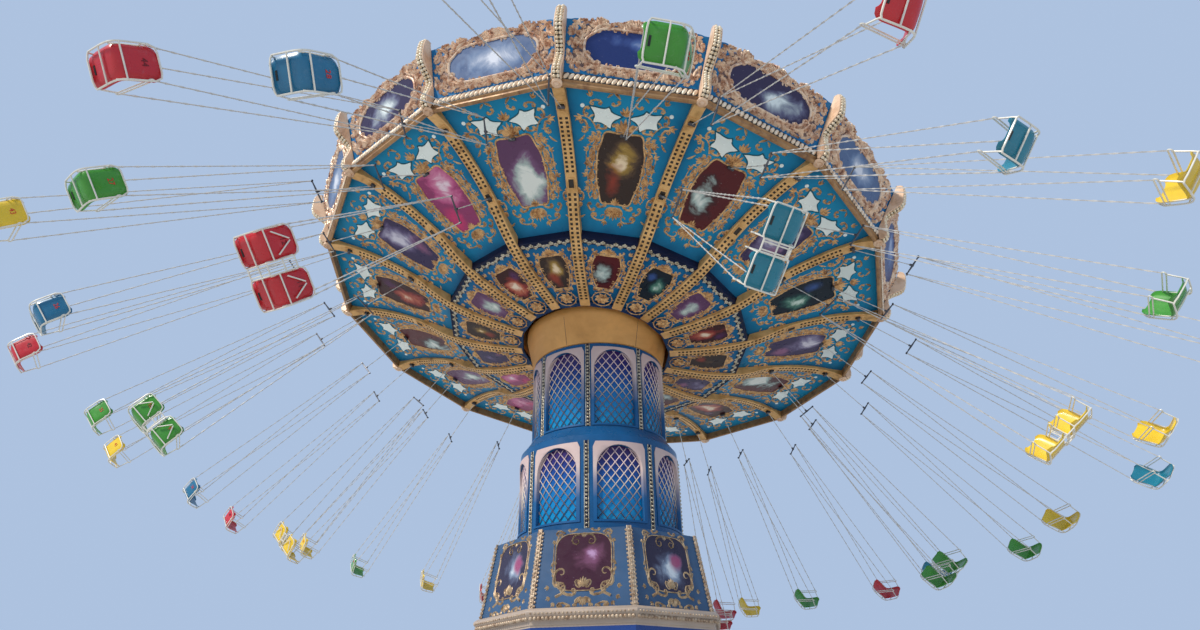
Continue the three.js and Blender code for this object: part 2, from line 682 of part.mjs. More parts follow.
function tower() {
  const group = new THREE.Group();
  group.add(
    mesh('base_frame', baseFrame(), 'cream'),
    mesh('base_wall', baseWall(), 'navy'),
    mesh('base_cornice', baseCornice(), 'cream'),
    mesh('base_skirt', baseSkirt(), 'blue'),
    mesh('lower_drum', lowerDrum(), 'blue'),
    mesh('lower_drum_glazing',
      glazing(LOWER_R, WINDOW_SILL_LOWER, WINDOW_SPRING_LOWER, WINDOW_W_LOWER), 'navy'),
    mesh('upper_drum', upperDrum(), 'blue'),
    mesh('upper_drum_glazing',
      glazing(UPPER_R, WINDOW_SILL_UPPER, WINDOW_SPRING_UPPER, WINDOW_W_UPPER), 'navy'),
    mesh('head_collar', headCollar(), 'gold'),
  );
  return group;
}

function canopy() {
  const group = new THREE.Group();
  const tiltAxis = new THREE.Vector3(-sind(TILT_AZ), cosd(TILT_AZ), 0);
  group.position.set(0, 0, PIVOT_Z);
  group.quaternion.setFromAxisAngle(tiltAxis, rad(TILT_DEG));
  group.add(
    mesh('tilt_hub', tiltHub(), 'steel'),
    mesh('canopy_hub', canopyHub(), 'steel'),
    mesh('rib_frame', ribFrame(), 'gold'),
    mesh('inner_ceiling', innerCeiling(), 'picture'),
    mesh('mid_band', midBand(), 'navy'),
    mesh('outer_ceiling', outerCeiling(), 'azure'),
    mesh('rim_cornice', rimCornice(), 'gold'),
    mesh('crown_boards', crownBoards(), 'azure'),
    mesh('canopy_roof', canopyRoof(), 'roof'),
    mesh('roof_cap', roofCap(), 'gold'),
    ...swings(),
  );
  return group;
}

const ride = new THREE.Group();
ride.add(tower(), canopy());

export default ride;
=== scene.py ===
"""A chair swing ride: paint, gilding, windows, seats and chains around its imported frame, in metres."""
import json
import math

import bmesh
import bpy
import numpy as np
from mathutils import Matrix, Vector

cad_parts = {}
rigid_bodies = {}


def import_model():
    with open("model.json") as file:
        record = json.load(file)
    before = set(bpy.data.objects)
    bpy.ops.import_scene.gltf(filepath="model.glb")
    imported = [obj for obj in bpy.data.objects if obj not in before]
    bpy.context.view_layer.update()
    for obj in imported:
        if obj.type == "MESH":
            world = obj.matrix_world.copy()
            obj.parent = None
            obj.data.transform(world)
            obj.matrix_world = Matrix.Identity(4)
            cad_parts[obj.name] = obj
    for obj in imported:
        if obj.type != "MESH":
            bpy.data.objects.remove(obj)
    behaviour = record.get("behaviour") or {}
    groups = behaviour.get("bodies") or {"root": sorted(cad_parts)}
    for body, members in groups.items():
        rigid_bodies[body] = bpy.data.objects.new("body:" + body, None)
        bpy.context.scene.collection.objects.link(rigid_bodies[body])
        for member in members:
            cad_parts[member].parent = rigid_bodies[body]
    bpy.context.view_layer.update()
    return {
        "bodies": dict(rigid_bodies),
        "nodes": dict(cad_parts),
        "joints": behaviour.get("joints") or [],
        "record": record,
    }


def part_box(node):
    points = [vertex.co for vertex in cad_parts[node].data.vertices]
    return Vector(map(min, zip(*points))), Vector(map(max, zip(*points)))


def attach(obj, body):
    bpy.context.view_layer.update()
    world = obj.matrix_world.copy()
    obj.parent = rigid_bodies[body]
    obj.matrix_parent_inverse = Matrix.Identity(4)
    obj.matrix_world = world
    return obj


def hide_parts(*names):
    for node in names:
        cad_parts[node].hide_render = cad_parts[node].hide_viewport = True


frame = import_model()

# Sides and directions, in degrees anticlockwise from +X
BASE_SIDES = 8
BASE_FACE_AZ = -90.0
BASE_CORNER_AZ = BASE_FACE_AZ + 180.0 / BASE_SIDES
BASE_COS = math.cos(math.radians(180.0 / BASE_SIDES))
BASE_SIN = math.sin(math.radians(180.0 / BASE_SIDES))
WINDOWS = 8
WINDOW_AZ = 22.5
CANOPY_SIDES = 16
BAY = 360.0 / CANOPY_SIDES
RIB_AZ = 1.5
HALF_BAY_COS = math.cos(math.radians(BAY / 2))
HALF_BAY_SIN = math.sin(math.radians(BAY / 2))
ROUND = 96

# Canopy, in its own frame
INNER_R = 1.49
MID_R = 3.016
MID_BAND_W = 0.04
RING_W = 0.11
RING_T = 0.04
RIM_R = 5.6
RIM_DEPTH = 0.17
CEILING_T = 0.03
RIM_OUT = 0.09
RIM_UP = 0.09
CROWN_BOTTOM_R = 5.64
CROWN_TOP_R = 6.04
CROWN_T = 0.045
CROWN_H = 0.83
POST_W = 0.15
DOUBLE_R = 3.9
SINGLE_R = 5.22
SLOTS = [DOUBLE_R, SINGLE_R]
RIB_COLUMNS = [-0.095, -0.084, -0.070, -0.024, 0.024, 0.070, 0.084, 0.095]
RIB_EDGE = [0.011, 0.0, 0.0, 0.0, 0.0, 0.0, 0.0, 0.011]
HOLED_COLUMNS = (2, 4)
HOLE_PITCH = 0.075
HOLE_L = 0.042
HOLE_DEPTH = 0.012
HOLE_FROM = 1.68
HOLE_TO = 5.0
BRACKET_BEAD_PITCH = 0.062
RIM_DROPS = 25
RIM_DROP_Z = 0.163
ROOF_TOP = 1.9
ROOF_HOLE_R = 0.42

# Ornament on panels: x runs sideways, and y outwards or up
OUTER_PICTURE_Y = 4.12
INNER_PICTURE_Y = 2.305
ROSETTE_Y = 1.705
ROSETTE_R = 0.18
MIRROR_AT = (0.335, 4.99)
MIRROR_R = 0.228
MIRROR_EDGE_R = 0.268
MIRROR_TURN = 14
DOT_AT = (0.70, 5.13)
DOT_R = 0.034
CROWN_PICTURE_Y = 0.50
CROWN_MARGIN = 0.035
SKIRT_PICTURE_Y = 0.68

# Base
CORNICE_TOP = 3.04
STOREY_TOP = 2.78
SKIRT_TOP = 4.23
SKIRT_BOTTOM_R = 2.042
SKIRT_TOP_R = 1.834
WALL_R = 1.83
COLUMN_AT = 1.935
FLOOR_H = 0.12
CORNICE_R = 2.15
CORNICE_EGGS = 26
LINTEL_LOW = STOREY_TOP - 0.15

# Tower
DRUM_T = 0.06
LOWER_STAGE = {
    "label": "lower_stage", "drum": "lower_drum", "panes": "lower_drum_glazing",
    "width": 0.80, "sill": 4.42, "spring": 5.28, "margin": 0.062, "frame_top": 5.735,
}
UPPER_STAGE = {
    "label": "upper_stage", "drum": "upper_drum", "panes": "upper_drum_glazing",
    "width": 0.76, "sill": 6.13, "spring": 7.20, "margin": 0.052, "frame_top": 7.625,
}
LEDGE_H = 0.198
CUTTER_REACH = 0.2
SLIDE_ROOM = 0.036
TURN_GAP = 0.0008
SPIGOT_R = 0.42
SPIGOT_HOLE_R = 0.424
SPIGOT_DEPTH = 0.26
COLLAR_R = 1.29
COLLAR_TOP_R = 1.425
COLLAR_FLARE_TOP = 8.30
COLLAR_TOP = 8.44
COLLAR_T = 0.06
CHEEK_Y = 0.64
CHEEK_HALF_T = 0.06
CHEEK_HALF_W = 0.21
CHEEK_TOP = 8.717
BEARING_HALF_W = 0.118
BEARING_LOW = 8.41
BEARING_HIGH = 8.645

# Swings, in their own frame: hinge at the origin, hanging down -Z, +X outwards, facing -Y
SINGLE = {"length": 5.52, "spreader_half": 0.20, "seats": [0.0]}
DOUBLE = {"length": 5.215, "spreader_half": 0.22, "seats": [-0.25, 0.25]}
SPREADER_AT = 1.1
SEAT_W = 0.38
SEAT_FRONT = -0.21
SEAT_BACK = 0.17
BACK_H = 0.35
BACK_LEAN = 0.08
ARM_H = 0.22
ARM_IN = 0.018
ARM_RISE = 0.04
ARM_END_R = 0.022
SEAT_CORNER = 0.075
SEAT_T = 0.009
LINK_PITCH = 0.090
FRAME_PAINT, CHAIN_PAINT, STEEL_PAINT, NUMBER_PAINT, SLIT_PAINT = 1, 2, 3, 4, 5

# Camera that took the photograph, from points of its tower and canopy
CAMERA_AT = Vector((1.933, -13.233, 1.6))
CAMERA_RIGHT = Vector((0.98897, 0.14746, -0.01382))
CAMERA_UP = Vector((0.08329, -0.47659, 0.87517))
FOCAL_SHARE = 730.26 / 1200.0
SENSOR_W = 36.0

# Floor and light
FLOOR_HALF = 120.0
FLOOR_COLOR = (0.62, 0.60, 0.56, 1.0)
SKY_COLOR = (0.42, 0.54, 0.74, 1.0)
SUN_COLOR = (1.0, 0.95, 0.87)
SUN_STRENGTH = 3.2
SUN_SPREAD = 8
SUN_TOWARDS = Vector((0.62, 0.62, -0.72))


def section(points):
    """Height over radius as a smooth curve through the given points."""
    rs, zs = np.array(points, float).T
    slopes = np.gradient(zs, rs)

    def height(r):
        r = np.asarray(r, float)
        i = np.clip(np.searchsorted(rs, r) - 1, 0, len(rs) - 2)
        span = rs[i + 1] - rs[i]
        t = (r - rs[i]) / span
        low = (1 + 2 * t) * (1 - t) ** 2 * zs[i] + t * (1 - t) ** 2 * span * slopes[i]
        high = t * t * (3 - 2 * t) * zs[i + 1] + t * t * (t - 1) * span * slopes[i + 1]
        return low + high

    return height


# The canopy's section, outwards: the ribs' underside is an S, and the ceiling steps up at the mid band
rib_z = section([
    (1.49, -0.46), (2.0, -0.42), (2.55, -0.34), (3.04, -0.20), (3.4, -0.04), (3.75, 0.155),
    (4.15, 0.315), (4.6, 0.43), (5.0, 0.50), (5.35, 0.52), (5.6, 0.474)])
inner_ceiling_z = section([(1.49, -0.40), (2.0, -0.36), (2.55, -0.265), (3.016, -0.16)])
outer_ceiling_z = section([
    (3.056, -0.01), (3.4, 0.115), (3.75, 0.24), (4.15, 0.375), (4.6, 0.50), (5.0, 0.575),
    (5.35, 0.605), (5.6, 0.644)])
STEP_R = MID_R + MID_BAND_W / 2


def ceiling_z(r):
    return np.where(np.asarray(r, float) < STEP_R, inner_ceiling_z(r), outer_ceiling_z(r))


RIM_Z = float(ceiling_z(RIM_R))
CROWN_FOOT_Z = RIM_Z + RIM_UP

joints = {joint["name"]: joint for joint in frame["joints"]}
spin_axis = Vector(joints["canopy_spin"]["axis"]).normalized()
pivot = Vector(joints["canopy_tilt"]["pos_m"])
canopy_turn = Vector((0, 0, 1)).rotation_difference(spin_axis).to_matrix().to_4x4()
CANOPY = Matrix.Translation(pivot) @ canopy_turn
UPRIGHT = Matrix.Identity(4)


# Gathering shapes

class Shape:
    """The vertices and faces of one piece, each face with a paint number, each vertex with a panel place."""

    def __init__(self):
        self.parts = []
        self.count = 0

    def add(self, verts, faces, paint=0, uv=None):
        verts = np.asarray(verts, float).reshape(-1, 3)
        if isinstance(faces, np.ndarray):
            corners = faces.reshape(-1)
            sizes = np.full(len(faces), faces.shape[1])
        else:
            corners = np.concatenate([np.asarray(face) for face in faces])
            sizes = np.array([len(face) for face in faces])
        uv = np.zeros((len(verts), 2)) if uv is None else np.asarray(uv, float).reshape(-1, 2)
        self.parts.append((verts, uv, corners + self.count, sizes, np.full(len(sizes), paint)))
        self.count += len(verts)
        return self

    def arrays(self):
        return [np.concatenate(column) for column in zip(*self.parts)]

    def join(self, *others):
        for other in others:
            verts, uv, corners, sizes, paints = other.arrays()
            self.parts.append((verts, uv, corners + self.count, sizes, paints))
            self.count += len(verts)
        return self

    def copies(self, matrices, paint_of=None):
        verts, uv, corners, sizes, paints = self.arrays()
        made = Shape()
        for i, matrix in enumerate(matrices):
            m = np.array(matrix)
            shift = 0 if paint_of is None else paint_of(i)
            moved = verts @ m[:3, :3].T + m[:3, 3]
            made.parts.append((moved, uv, corners + made.count, sizes, paints + shift))
            made.count += len(verts)
        return made


def piece(name, shape, materials, body, replaces=(), matrix=UPRIGHT, slot=None, sharp=35.0):
    """Makes one Blender object from a shape, with outward faces, and lets it ride on a body."""
    verts, uv, corners, sizes, paints = shape.copies([matrix]).arrays()
    mesh = bpy.data.meshes.new(name)
    mesh.vertices.add(len(verts))
    mesh.vertices.foreach_set("co", verts.astype(np.float32).ravel())
    mesh.loops.add(len(corners))
    mesh.loops.foreach_set("vertex_index", corners.astype(np.int32))
    mesh.polygons.add(len(sizes))
    starts = np.concatenate([[0], np.cumsum(sizes)[:-1]])
    mesh.polygons.foreach_set("loop_start", starts.astype(np.int32))
    mesh.polygons.foreach_set("material_index", paints.astype(np.int32))
    mesh.polygons.foreach_set("use_smooth", np.ones(len(sizes), bool))
    layer = mesh.uv_layers.new(name="panel")
    layer.data.foreach_set("uv", uv[corners].astype(np.float32).ravel())
    mesh.update(calc_edges=True)
    mesh.validate()
    solid = bmesh.new()
    solid.from_mesh(mesh)
    bmesh.ops.recalc_face_normals(solid, faces=solid.faces)
    solid.to_mesh(mesh)
    solid.free()
    mesh.set_sharp_from_angle(angle=math.radians(sharp))
    for material in materials:
        mesh.materials.append(material)
    made = bpy.data.objects.new(name, mesh)
    bpy.context.scene.collection.objects.link(made)
    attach(made, body)
    if replaces:
        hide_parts(*replaces)
    return made


def on_canopy(name, shape, materials, slot="gold", replaces=()):
    return piece(name, shape, materials, "canopy", replaces, CANOPY, slot)


def spin(degrees):
    return Matrix.Rotation(math.radians(degrees), 4, "Z")


def around(count, first=0.0):
    return [spin(first + i * 360.0 / count) for i in range(count)]


def grid_faces(rows, cols, wrap_rows=False, wrap_cols=False):
    i = np.arange(rows if wrap_rows else rows - 1)[:, None]
    j = np.arange(cols if wrap_cols else cols - 1)[None, :]
    following = (i + 1) % rows
    right = (j + 1) % cols
    quads = [i * cols + j, i * cols + right, following * cols + right, following * cols + j]
    return np.stack(quads, -1).reshape(-1, 4)


def lathe(profile, segments=ROUND, first=0.0):
    """A closed ring turned about Z from a closed profile of radius and height."""
    profile = np.asarray(profile, float)
    angles = np.radians(first) + np.arange(segments) * 2 * math.pi / segments
    r, z = profile[:, 0][None, :], profile[:, 1][None, :]
    across = np.cos(angles)[:, None] * r
    depth = np.sin(angles)[:, None] * r
    verts = np.stack([across, depth, np.ones_like(angles)[:, None] * z], -1)
    return Shape().add(verts, grid_faces(segments, len(profile), True, True))


def lathe_solid(profile, segments=ROUND, first=0.0):
    """A body turned about Z whose profile starts and ends on the axis."""
    profile = np.asarray(profile, float)
    inner = profile[1:-1]
    width = len(inner)
    verts = lathe(inner, segments, first).arrays()[0]
    verts = np.vstack([verts, [[0, 0, profile[0][1]], [0, 0, profile[-1][1]]]])
    faces = grid_faces(segments, width, True, False)
    rows = np.arange(segments)
    after = (rows + 1) % segments
    foot = np.full(segments, segments * width)
    low = np.stack([foot, after * width, rows * width], -1)
    high = np.stack([foot + 1, rows * width + width - 1, after * width + width - 1], -1)
    return Shape().add(verts, [*faces, *low, *high])


def box(low, high, paint=0):
    (x0, y0, z0), (x1, y1, z1) = low, high
    verts = [(x, y, z) for z in (z0, z1) for y in (y0, y1) for x in (x0, x1)]
    faces = np.array([[0, 2, 3, 1], [4, 5, 7, 6], [0, 1, 5, 4], [2, 6, 7, 3], [0, 4, 6, 2], [1, 3, 7, 5]])
    return Shape().add(verts, faces, paint)


def unit(vectors):
    return vectors / np.linalg.norm(vectors, axis=1)[:, None]


def lengths_along(path):
    """How far each point of a path lies from its start."""
    return np.concatenate([[0], np.cumsum(np.linalg.norm(np.diff(path, axis=0), axis=1))])


def left_of(path):
    """At each point of a flat path, the unit vector a quarter turn to its left."""
    ahead = unit(np.gradient(path, axis=0))
    return np.stack([-ahead[:, 1], ahead[:, 0]], -1)


def sheet(front, back, rows, cols):
    """A plate from two like grids of points, closed round its edge."""
    count = rows * cols
    faces = list(grid_faces(rows, cols)) + list(grid_faces(rows, cols)[:, ::-1] + count)
    right = range(2 * cols - 1, count, cols)
    far = range(count - 2, count - cols - 1, -1)
    left = range(count - 2 * cols, 0, -cols)
    loop = [*range(cols), *right, *far, *left]
    for a, b in zip(loop, loop[1:] + loop[:1]):
        faces.append(np.array([a, b, b + count, a + count]))
    return Shape().add(np.vstack([front, back]), faces)


def tube(path, radius, sides=6, closed=False, paint=0):
    """A round bar along a path. radius may be one number or one for each point."""
    path = np.asarray(path, float)
    count = len(path)
    radii = np.broadcast_to(np.asarray(radius, float), (count,))
    ahead = np.roll(path, -1, 0) - path
    behind = path - np.roll(path, 1, 0)
    if not closed:
        ahead[-1] = behind[-1]
        behind[0] = ahead[0]
    tangents = unit(unit(ahead) + unit(behind))
    start = np.array([0.0, 0.0, 1.0]) if abs(tangents[0][2]) < 0.9 else np.array([1.0, 0.0, 0.0])
    normal = np.cross(tangents[0], start)
    turns = np.arange(sides) * 2 * math.pi / sides + math.pi / sides
    rings = []
    for k in range(count):
        normal = normal - tangents[k] * (normal @ tangents[k])
        normal /= np.linalg.norm(normal)
        side = np.cross(tangents[k], normal)
        ring = np.cos(turns)[:, None] * normal + np.sin(turns)[:, None] * side
        rings.append(path[k] + ring * radii[k])
    faces = list(grid_faces(count, sides, closed, True))
    if not closed:
        faces.append(np.arange(sides)[::-1])
        faces.append(np.arange(sides) + (count - 1) * sides)
    return Shape().add(np.vstack(rings), faces, paint)


def bead(radius, sides=6, squash=1.0):
    """A half ball standing on the plane z = 0."""
    profile = [(radius, 0.0), (radius * 0.87, radius * 0.5 * squash), (radius * 0.5, radius * 0.87 * squash)]
    angles = np.arange(sides) * 2 * math.pi / sides
    verts = [(r * math.cos(a), r * math.sin(a), z) for r, z in profile for a in angles]
    verts.append((0, 0, radius * squash))
    faces = list(grid_faces(3, sides, False, True))
    faces += [np.array([2 * sides + i, 2 * sides + (i + 1) % sides, 3 * sides]) for i in range(sides)]
    faces.append(np.arange(sides)[::-1])
    return Shape().add(verts, faces)


def axes(origin, x, y, z):
    """A placing matrix from an origin and three axes."""
    matrix = Matrix.Identity(4)
    for column, axis in enumerate((x, y, z)):
        matrix.col[column][:3] = list(Vector([float(value) for value in axis]).normalized())
    matrix.col[3][:3] = [float(value) for value in origin]
    return matrix


# Ornament drawn on a panel: strokes are flat curves with a width, and stand proud of the panel

def winding(x, y, heading, length, turn, count, power=2.0):
    """A line that starts straight and winds up into a spiral, turning by so many degrees in all."""
    fine = np.linspace(0, 1, 121)
    angle = math.radians(heading) + math.radians(turn) * fine ** power
    middle = (angle[1:] + angle[:-1]) / 2
    xs = x + np.concatenate([[0], np.cumsum(np.cos(middle))]) * length / 120
    ys = y + np.concatenate([[0], np.cumsum(np.sin(middle))]) * length / 120
    pick = np.round(120 * np.linspace(0, 1, count) ** 0.7).astype(int)
    return np.stack([xs[pick], ys[pick]], -1)


def scroll(x, y, heading, length, back_turn, ahead_turn, width, per=7):
    """A stroke through a place, whose two halves wind up by their own turns."""
    ahead = winding(x, y, heading, length / 2, ahead_turn, per)
    back = winding(x, y, heading + 180, length / 2, back_turn, per)
    points = np.vstack([back[::-1], ahead[1:]])
    away = np.abs(np.linspace(-1, 1, len(points)))
    return points, width * (1 - 0.5 * away ** 1.5)


def curl(x, y, heading, length, turn, width, count=9):
    """A stroke that winds up at its far end only."""
    return winding(x, y, heading, length, turn, count), width * np.linspace(1.0, 0.45, count)


def leaf(x, y, heading, length, width, turn=0.0):
    """A pointed leaf as one short wide stroke."""
    belly = np.array([0.35, 1.0, 0.78, 0.08])
    return winding(x, y, heading, length, turn, 4, 1.0), width * belly


def fan(x, y, heading, length, width, count=7, spread=130.0):
    strokes = []
    for k in range(count):
        offset = (k / (count - 1) - 0.5) * spread
        reach = length * (1 - 0.25 * abs(offset) / (spread / 2))
        strokes.append(leaf(x, y, heading + offset, reach, width, -offset * 0.4))
    return strokes


def sprig(x, y, heading, length, width):
    """Three leaves from one place."""
    leaves = []
    for turn, size in ((-48, 0.8), (0, 1.0), (48, 0.8)):
        leaves.append(leaf(x, y, heading + turn, length * size, width, -turn * 0.7))
    return leaves


def vine(guide, pitch, size, width, lean=0.0, leafy=1.0):
    """C scrolls in a row along a guide, by turns open to either side, with sprigs between them."""
    along = lengths_along(guide)
    count = max(1, int(round(along[-1] / pitch)))
    strokes = []
    for k in range(count):
        at, before, after = ((k + share) / count * along[-1] for share in (0.5, 0.3, 0.7))
        x, y = np.interp(at, along, guide[:, 0]), np.interp(at, along, guide[:, 1])
        dx = np.interp(after, along, guide[:, 0]) - np.interp(before, along, guide[:, 0])
        dy = np.interp(after, along, guide[:, 1]) - np.interp(before, along, guide[:, 1])
        heading = math.degrees(math.atan2(dy, dx)) + lean
        side = 1 if k % 2 else -1
        swell = size * (1.0 + 0.22 * math.sin(2.1 * k + 0.6))
        turn = 400 * side
        strokes.append(scroll(x, y, heading, swell * 2.3, -turn, turn, width))
        outward = math.radians(heading - 90)
        tip = (x + math.cos(outward) * swell * 0.16, y + math.sin(outward) * swell * 0.16)
        strokes += sprig(*tip, heading - 90 + 18 * side, swell * 0.62 * leafy, width * 1.25)
        ahead = math.radians(heading)
        joint = (x + math.cos(ahead) * swell * 0.55, y + math.sin(ahead) * swell * 0.55)
        strokes.append(leaf(*joint, heading + 55 * side, swell * 0.6, width * 1.2, 60 * side))
        strokes.append(leaf(*joint, heading - 80, swell * 0.5 * leafy, width * 1.2, -40))
    return strokes


def right_half(outline):
    """The half of a closed outline at positive x, from its lowest to its highest point."""
    quarter = len(outline) // 4
    return np.vstack([outline[3 * quarter:], outline[:quarter + 1]])


def mirrored(strokes):
    return strokes + [(points * np.array([-1.0, 1.0]), widths) for points, widths in strokes]


def relief(strokes, place, height):
    """Builds strokes as rounded ridges on the surface that place(x, y, h) gives."""
    made = Shape()
    ridge = np.array([[-1.0, 0.0], [0.0, 0.95], [1.0, 0.0]])
    corners = len(ridge)
    for points, widths in strokes:
        ahead = np.gradient(points, axis=0)
        ahead /= np.maximum(1e-9, np.linalg.norm(ahead, axis=1))[:, None]
        side = np.stack([-ahead[:, 1], ahead[:, 0]], -1)
        across = ridge[None, :, 0] * widths[:, None] / 2
        x = points[:, None, 0] + side[:, None, 0] * across
        y = points[:, None, 1] + side[:, None, 1] * across
        h = ridge[None, :, 1] * widths[:, None] * height / 2
        verts = place(x.ravel(), y.ravel(), h.ravel())
        count = len(points)
        faces = list(grid_faces(count, corners, False, True))
        faces.append(np.arange(corners))
        faces.append((np.arange(corners) + (count - 1) * corners)[::-1])
        made.add(verts, faces)
    return made


def band(points, widths, place, height):
    """A closed ridge along a closed outline."""
    ahead = unit(np.roll(points, -1, 0) - np.roll(points, 1, 0))
    side = np.stack([-ahead[:, 1], ahead[:, 0]], -1)
    ridge = np.array([[-1.0, 0.0], [-0.8, 0.7], [0.0, 1.0], [0.8, 0.7], [1.0, 0.0]])
    across = ridge[None, :, 0] * np.broadcast_to(widths, (len(points),))[:, None] / 2
    x = points[:, None, 0] + side[:, None, 0] * across
    y = points[:, None, 1] + side[:, None, 1] * across
    h = np.broadcast_to(ridge[None, :, 1] * height, x.shape)
    verts = place(x.ravel(), y.ravel(), h.ravel())
    return Shape().add(verts, grid_faces(len(points), len(ridge), True, True))


def plaque(points, centre, place, thickness, rings, paint=0):
    """A thin plate with a closed outline that is seen whole from its centre."""
    count = len(points)
    centre = np.asarray(centre, float)
    shares = np.linspace(1, 0, rings + 1)[:-1]
    flat = np.vstack([centre + (points - centre) * share for share in shares])
    top = np.vstack([flat, centre])
    verts = [place(top[:, 0], top[:, 1], np.full(len(top), thickness))]
    verts.append(place(points[:, 0], points[:, 1], np.zeros(count)))
    base = rings * count + 1
    rows = np.arange(count)
    after = (rows + 1) % count
    faces = list(grid_faces(rings, count, False, True))
    inner = (rings - 1) * count
    faces += [np.array([inner + i, inner + j, rings * count]) for i, j in zip(rows, after)]
    faces += [np.array([base + i, base + j, j, i]) for i, j in zip(rows, after)]
    faces.append(base + rows[::-1])
    reach = np.abs(points - centre).max(0)
    uv = np.vstack([(top - centre) / reach, (points - centre) / reach])
    return Shape().add(np.vstack(verts), faces, paint, uv=uv)


def stepped_outline(corners, steps):
    """A closed outline through its corners, with so many steps on each side."""
    following = np.roll(corners, -1, 0)
    return np.vstack([np.linspace(a, b, steps + 1)[:-1] for a, b in zip(corners, following)])


def cartouche(half_w, half_h, square=3.0, waves=0.05, lobes=4, count=64):
    """A wavy closed outline between an oval and a rectangle."""
    t = np.arange(count) * 2 * math.pi / count
    c, s = np.cos(t), np.sin(t)
    power = 2.0 / square
    r = 1 + waves * np.cos(lobes * t)
    x = half_w * np.sign(c) * np.abs(c) ** power * r
    y = half_h * np.sign(s) * np.abs(s) ** power * r
    return np.stack([x, y], -1)


# Materials

class Paint:
    """A material and short ways to add nodes to it."""

    def __init__(self, name):
        self.material = bpy.data.materials.new(name)
        self.material.use_nodes = True
        self.nodes = self.material.node_tree.nodes
        self.links = self.material.node_tree.links
        self.shader = self.nodes["Principled BSDF"]

    def put(self, socket, value):
        if isinstance(value, bpy.types.NodeSocket):
            self.links.new(value, socket)
        else:
            socket.default_value = value

    def node(self, kind, inputs=None, **settings):
        made = self.nodes.new(kind)
        for key, value in settings.items():
            setattr(made, key, value)
        for key, value in (inputs or {}).items():
            self.put(made.inputs[key], value)
        return made

    def set(self, **inputs):
        """Sets the shader's own sockets, by their names in small letters, such as coat_weight."""
        for key, value in inputs.items():
            socket = key.replace("_", " ").title().replace("Ior", "IOR")
            self.put(self.shader.inputs[socket], value)
        return self

    def worn(self, scale, detail, low, high):
        """Roughness that drifts between two levels."""
        return self.set(roughness=self.spread(self.noise(scale, detail), 0.3, 0.7, low, high))

    def place(self, output="Object"):
        return self.node("ShaderNodeTexCoord").outputs[output]

    def noise(self, scale, detail=3.0, rough=0.5, distortion=0.0, vector=None):
        inputs = {"Scale": scale, "Detail": detail, "Roughness": rough, "Distortion": distortion}
        inputs["Vector"] = vector or self.place()
        return self.node("ShaderNodeTexNoise", inputs).outputs["Fac"]

    def ramp(self, fac, stops, smooth=False):
        made = self.node("ShaderNodeValToRGB", {"Fac": fac})
        if smooth:
            made.color_ramp.interpolation = "B_SPLINE"
        elements = made.color_ramp.elements
        for _ in stops[2:]:
            elements.new(0.5)
        for element, (at, color) in zip(elements, stops):
            element.position = at
            element.color = (*color, 1.0) if len(color) == 3 else color
        return made.outputs["Color"]

    def mix(self, fac, a, b, blend="MIX"):
        made = self.node("ShaderNodeMix", {0: fac}, data_type="RGBA", blend_type=blend)
        self.put(made.inputs[6], (*a, 1.0) if isinstance(a, tuple) else a)
        self.put(made.inputs[7], (*b, 1.0) if isinstance(b, tuple) else b)
        return made.outputs[2]

    def math(self, operation, a, b=0.0, clamp=False):
        return self.node("ShaderNodeMath", {0: a, 1: b}, operation=operation, use_clamp=clamp).outputs[0]

    def wander(self, size, *noise):
        """Noise that swings to both sides of zero."""
        return self.math("MULTIPLY", self.math("SUBTRACT", self.noise(*noise), 0.5), size)

    def spread(self, value, low, high, to_low=0.0, to_high=1.0):
        inputs = {"Value": value, "From Min": low, "From Max": high, "To Min": to_low, "To Max": to_high}
        return self.node("ShaderNodeMapRange", inputs).outputs["Result"]

    def bump(self, height, strength, distance):
        made = self.node("ShaderNodeBump", {"Height": height, "Strength": strength, "Distance": distance})
        self.put(self.shader.inputs["Normal"], made.outputs["Normal"])
        return self


def tinted(color, factor):
    return tuple(min(1.0, channel * factor) for channel in color)


def painted(name, color, rough=0.4, metal=0.0, vary=0.15, patch=1.3, grain=70.0, bump=0.12,
            dirt=None, coat=0.0, gloss=0.5):
    """Paint whose tone drifts in patches, with fine orange peel and faint grime."""
    paint = Paint(name)
    tone = paint.ramp(paint.noise(patch, 5.0, 0.6, 0.4), [
        (0.3, tinted(color, 1 - vary)), (0.55, color), (0.75, tinted(color, 1 + vary))])
    if dirt:
        grime = paint.spread(paint.noise(patch * 3.7, 6.0, 0.7), 0.56, 0.78, 0.0, 0.55)
        tone = paint.mix(grime, tone, dirt)
    paint.set(base_color=tone, metallic=metal, specular_ior_level=gloss)
    paint.worn(patch * 5, 4.0, rough - 0.08, rough + 0.1)
    if coat:
        paint.set(coat_weight=coat, coat_roughness=0.12)
    return paint.bump(paint.noise(grain, 3.0), bump, 0.002).material


def gilded(name, bright, deep, dark, rough=0.36, metal=0.55, patch=9.0):
    """Old gold paint in noise patches of dark, copper and gold tones, with paler patches as painted
    highlights.
    """
    paint = Paint(name)
    # Painted highlights: the last, palest stop brightens patches beyond the gold.
    tone = paint.ramp(paint.noise(patch, 5.0, 0.65, 0.5), [
        (0.28, dark), (0.42, deep), (0.55, bright), (0.78, tinted(bright, 1.25))])
    paint.set(base_color=tone, metallic=metal)
    paint.worn(patch * 2, 4.0, rough - 0.1, rough + 0.14)
    return paint.bump(paint.noise(patch * 6, 4.0, 0.7), 0.35, 0.006).material


